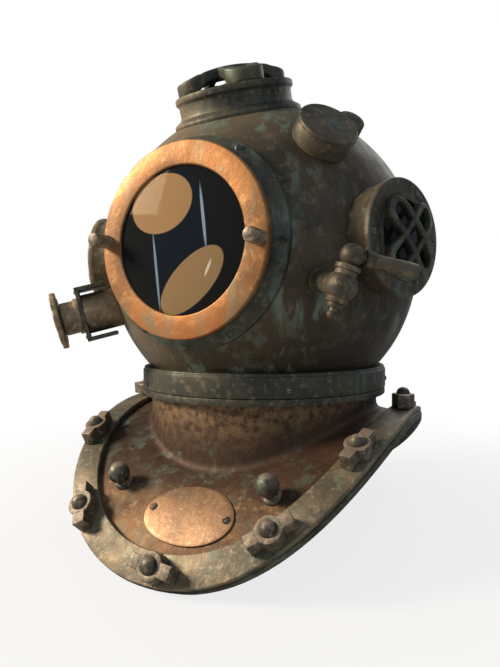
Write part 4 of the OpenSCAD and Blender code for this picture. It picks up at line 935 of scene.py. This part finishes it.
def top_section(turn):
    def at(r):
        return over_ball(r, turn, 0, seat_r)
    return [(50.2, at(50.2)), (62.5, at(62.5)), (62.5, 150.2), (60.6, 152.2), (56.4, 154.6),
            (55, 157.5), (55, 166.6), (56.2, 168.3), (57.5, 169.3), (57.5, 173.4),
            (56.4, collar_top), (46.6, collar_top), (46.6, 162), (42, 162), (42, 146),
            (50, 146)]


collar_brass = aged_metal(
    "collar_brass", (0.028, 0.031, 0.026), (0.070, 0.068, 0.048), (0.180, 0.150, 0.095),
    (0.125, 0.190, 0.155), patches=20.0, speckle=160.0, streaks=0.4, shine=0.42, seed=16.0,
    # Painted light: the tint along X makes the collar's side towards the warm lamp tan.
    tints_and_painted_light=[("X", 0.045, -0.005, (0.300, 0.225, 0.135), 0.8)])
collar = moved(soften(saddle_ring(top_section, 128), 0.5), top)
pane = soften(disc(collar_bore, 163.5, 171.5, 80), 0.4)
washer = hoop(42, collar_bore, 162, 163.5, 80)
guard = crossed_guard(54.0, 21.0, 10.5, 7.5, 36.0, 46.5, 42.0, -3.0)
moved(guard, top @ shift(0, 0, collar_top))
make_piece("top_window", collar, collar_brass, "bonnet", "top_window_frame")
make_piece("top_glass", moved(pane, top), window_glass_painted_shade, "bonnet")
make_piece("top_gasket", moved(washer, top), leather, "bonnet")
make_piece("top_guard", guard, ring_brass, "bonnet")


# TELEPHONE
# A shallow cast bronze drum with a lobe at its side for the wires and a turned cap;
# the receiver sits inside, facing the wearer's left ear.
def ball_footed(r, top_z, bevel, centre_xy=(0, 0), steps=72):
    """A drum that stands on the bonnet, its lower edge following the copper."""
    rings = []
    x0, y0 = centre_xy
    for a in turns(steps):
        x, y = x0 + r * math.cos(a), y0 + r * math.sin(a)
        low = math.sqrt(seat_r ** 2 - x * x - y * y)
        x1, y1 = x0 + 0.2 * math.cos(a), y0 + 0.2 * math.sin(a)
        rings.append([Vector((x1, y1, low)), Vector((x, y, low)), Vector((x, y, top_z)),
                      Vector((x1, y1, top_z))])
    drum = loft(rings, closed=True)
    bmesh.ops.remove_doubles(drum, verts=drum.verts, dist=0.001)
    return soften(drum, bevel, 3, 40)


drum = ball_footed(25.5, 173.0, 0.3)
lobe = ball_footed(12.0, 175.0, 1.0, (26, 12), 48)
housing = join_shapes([drum, lobe, disc(21.5, 153, 161, 48)])
cap = revolve([(0, 173.1), (25.5, 173.1), (25.5, 175.7), (24.7, 176.5), (0, 176.5)], 80)
receiver = soften(revolve([(0, 155), (2, 154), (17, 154), (18.4, 155.2), (18.4, 162.9),
                           (0, 162.9)], 64), 0.4)
make_piece("telephone_housing", moved(housing, phone), drum_bronze, "bonnet")
make_piece("telephone_cap", moved(soften(cap, 0.25, 2, 25), phone), drum_bronze, "bonnet")
make_piece("telephone_receiver", moved(receiver, phone), bonnet_copper, "bonnet")


# REAR ELBOWS
# Two brass elbows at the back, one for the air hose and one for the telephone line:
# each leaves the bonnet level, bends down and ends in a round chamber. The air's has
# a valve, a disc in a cage, and leads to a duct inside the bonnet.
def bent_tube(r, start, bend):
    """A round bar's quarter bend: out along +Z, then down along -Y."""
    rings = []
    for i in range(25):
        a = math.pi / 2 * i / 24
        middle = Vector((0, -bend + bend * math.cos(a), start + bend * math.sin(a)))
        away = Vector((0, math.cos(a), math.sin(a)))
        rings.append([middle + (Vector((1, 0, 0)) * math.cos(t) + away * math.sin(t)) * r
                      for t in turns(40)])
    return loft(rings)


def paint_node(node, finish):
    """A piece inside the bonnet keeps its own solid and only gets a finish."""
    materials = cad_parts[node].data.materials
    materials.clear()
    materials.append(finish)


elbow_bend, elbow_start = 24.0, 164.0
down = shift(0, -elbow_bend, elbow_start + elbow_bend) @ rotation(90, "X")
unions = {"air": ("air_inlet_elbow", "air_inlet_union", 14.5, 7.0),
          "telephone": ("telephone_elbow", "telephone_gland", 12.5, 5.0)}
for kind, (elbow_node, union_name, thread_r, bore) in unions.items():
    cuff = soften(disc(15.5, 163.8, 167, 48), 0.8)
    chamber = revolve([(0, 0), (13, 0), (13, 2.4), (17, 3.6), (17, 22), (13.5, 22),
                       (13.5, 16), (0, 16)], 56)
    elbow = join_shapes([ball_footed(22.0, 164.0, 0.9), disc(12, 152, 165, 40), cuff,
                         bent_tube(13.0, elbow_start, elbow_bend),
                         moved(soften(chamber, 0.6), down)])
    make_piece(kind + "_elbow", moved(elbow, elbows[kind]), ring_brass, "bonnet",
               elbow_node)
    thread = [(bore, 46), (bore, 16.1), (13.4, 16.1), (13.4, 22.1), (17, 22.1), (17, 28)]
    for i in range(8):
        thread += [(thread_r - 0.9, 28.6 + 2 * i), (thread_r, 29.4 + 2 * i),
                   (thread_r - 0.9, 30.2 + 2 * i)]
    thread += [(thread_r - 1.2, 46), (bore, 46)]
    make_piece(union_name, moved(revolve(thread, 56), elbows[kind] @ down), nut_brass,
               "bonnet", smooth=30)
paint_node("air_valve_disc", nut_brass)
paint_node("air_valve_cage", nut_brass)
paint_node("air_duct", bonnet_copper)


# SPIT COCK
# A small bronze plug cock at the wearer's left cheek: a stem and ball on the bonnet,
# a plug with a ball on top and a tail below, and a lever that swings outwards.
plug_top = 22.6
at_ball = cock @ shift(0, 0, 200)
plug = at_ball @ rotation(-16.5) @ rotation(-90, "X")
lever = plug @ shift(0, 0, plug_top) @ rotation(85, "Y")
stem = revolve([(0, 154), (5, 154), (5, 162), (9.6, 162.5), (8.8, 166), (8.5, 170),
                (8.5, 186), (9.3, 187.2), (9.3, 189.4), (8.2, 190.6), (0, 195)], 56)
body = join_shapes([moved(ball_footed(10.0, 163.5, 0.9, steps=48), cock),
                    moved(soften(stem, 0.3), cock),
                    moved(revolve(ball_arc(11.6, 0, -90, 90, 32), 56), at_ball),
                    moved(soften(hoop(5.3, 8, -12, 12, 48), 0.4), plug)])
turned = revolve([(0, -13.1), (5, -13.1), (5, 11.5), (5, 12.1), (9.3, 12.1), (9.3, 15.5),
                  (5.8, 15.5)] + ball_arc(8.7, plug_top, -50, 90, 20), 56)
tail = revolve([(0, -12.1), (5.6, -12.1), (5.6, -15.6), (2.6, -15.6), (2.6, -18.2)]
               + ball_arc(3.6, -21, 44, -90, 12), 40)
grip = revolve([(0, 3), (4.5, 3), (4.5, 9.2), (6.5, 9.6), (6.5, 16.8), (5.6, 17.4),
                (5.5, 26), (6.0, 40), (6.2, 50.5), (5.8, 52.6), (4.4, 53.7), (0, 54)], 48)
turned = join_shapes([soften(turned, 0.4), soften(tail, 0.3)])
make_piece("spit_cock_body", body, drum_bronze, "bonnet")
make_piece("spit_cock_plug", moved(turned, plug), drum_bronze, "spit_cock")
make_piece("spit_cock_lever", moved(soften(grip, 0.3), lever), drum_bronze, "spit_cock")


# EXHAUST VALVE
# A turned bronze barrel that points sideways from the wearer's right cheek, with a
# square guard round its ring, a neck and a scalloped hand wheel. Its sprung valve
# sits inside, and the wearer's chin can press the valve's button.
barrel_r, barrel_top = 19.4, 31.5


def exhaust_barrel():
    rings = []
    middle = (exhaust.inverted() @ shift(0, 0, bonnet_z)).to_translation()
    for a in turns(72):
        c, s = math.cos(a), math.sin(a)
        x, y = barrel_r * c, barrel_r * s
        reach = seat_r ** 2 - (x - middle.x) ** 2 - (y - middle.y) ** 2
        low = middle.z + math.sqrt(reach)
        rings.append([Vector((0.2 * c, 0.2 * s, low)), Vector((x, y, low)),
                      Vector((x, y, barrel_top - 0.6)),
                      Vector(((barrel_r - 0.6) * c, (barrel_r - 0.6) * s, barrel_top)),
                      Vector((0.2 * c, 0.2 * s, barrel_top))])
    barrel = loft(rings, closed=True)
    bmesh.ops.remove_doubles(barrel, verts=barrel.verts, dist=0.001)
    return barrel


def scalloped_wheel():
    wheel_r, bore, low, high, scallops, depth = 27.6, 7, 54.1, 59.1, 8, 3.2
    rings = []
    for a in turns(144):
        r = wheel_r - depth * max(0.0, -math.cos(scallops * a)) ** 1.3
        c, s = math.cos(a), math.sin(a)
        rings.append([Vector((bore * c, bore * s, low)), Vector((r * c, r * s, low)),
                      Vector((r * c, r * s, high)), Vector((bore * c, bore * s, high))])
    return soften(loft(rings, closed=True), 0.9, 3, 40)


step = soften(disc(17.6, 35.4, 39.9, 72), 0.6)
neck = soften(revolve([(0, 31), (16, 31), (16, 51.9), (15, 52.9), (8.3, 52.9), (8.3, 47),
                       (0, 47)], 64), 0.4)
body = join_shapes([soften(exhaust_barrel(), 0.4), step, neck, disc(17.4, -15, 2, 56)])
guard = [bar((37, 53, 3.7), (0, 0, 33.45), 0.6, 2)]
guard += [bar((37, 3.8, 29.3), (0, side * 24.6, 20.65), 0.6) for side in (-1, 1)]
guard += [moved(slotted_head(2.0, 1.2), shift(x, y, 35.3)) for x in (-14, 14)
          for y in (-22.0, 22.0)]
hub = revolve([(0, 35.5), (8, 35.5), (8, 53.5), (11, 53.5), (11, 60.0), (9.8, 60.6),
               (4, 60.6), (3.4, 59.9), (0, 59.9)], 48)
wheel = join_shapes([scalloped_wheel(), soften(hub, 0.4)])
button = soften(revolve([(0, -19.2), (4, -19.6), (7.6, -20), (9, -19), (9, -15), (8.2, -14),
                         (2.6, -14), (2.6, -12.1), (0, -12.1)], 48), 0.3)
make_piece("exhaust_body", moved(body, exhaust), sunlit_bronze, "bonnet")
make_piece("exhaust_guard", moved(join_shapes(guard), exhaust), ring_brass, "bonnet")
make_piece("exhaust_hand_wheel", moved(wheel, exhaust), sunlit_bronze, "exhaust_wheel")
make_piece("exhaust_chin_button", moved(button, exhaust), braile_brass, "exhaust_valve")
paint_node("exhaust_valve", nut_brass)


# NECK LATCH
# A small brass tongue on a pinned bracket behind the wearer's left shoulder, which
# hangs over the joint of the neck rings.
pin_y, pin_z, cheek_x = -137, 14, 6.15
behind = rotation(144)
pivot = behind @ shift(0, pin_y, pin_z) @ rotation(90, "Y")
cheeks = [bar((2.7, 9.5, 12), (side * cheek_x, -132.9, pin_z), 0.6) for side in (-1, 1)]
for side in (-1, 1):
    eye = soften(hoop(2.7, 6, -1.35, 1.35, 32), 0.4)
    cheeks.append(moved(eye, shift(side * cheek_x, pin_y, pin_z) @ rotation(90, "Y")))
cheeks.append(bar((15, 2.7, 12), (0, -129.6, pin_z), 0.5))
pin = revolve([(0, -9), (2.5, -9), (2.5, 7.7), (4, 7.7), (4, 9.6), (0, 9.6)], 32)
thumb = moved(soften(disc(7.5, 0, 4, 40), 0.8), shift(0, -139, -12) @ rotation(-90, "X"))
knuckle = soften(hoop(2.9, 5.2, -4.5, 4.5, 36), 0.4)
arm = join_shapes([moved(bar((9, 4, 22), (0, pin_y, -1)), behind), moved(thumb, behind),
                   moved(knuckle, pivot)])
make_piece("latch_bracket", moved(join_shapes(cheeks), behind), ring_brass, "bonnet")
make_piece("latch_pin", moved(soften(pin, 0.3), pivot), nut_brass, "bonnet")
make_piece("latch_arm", arm, braile_brass, "latch")
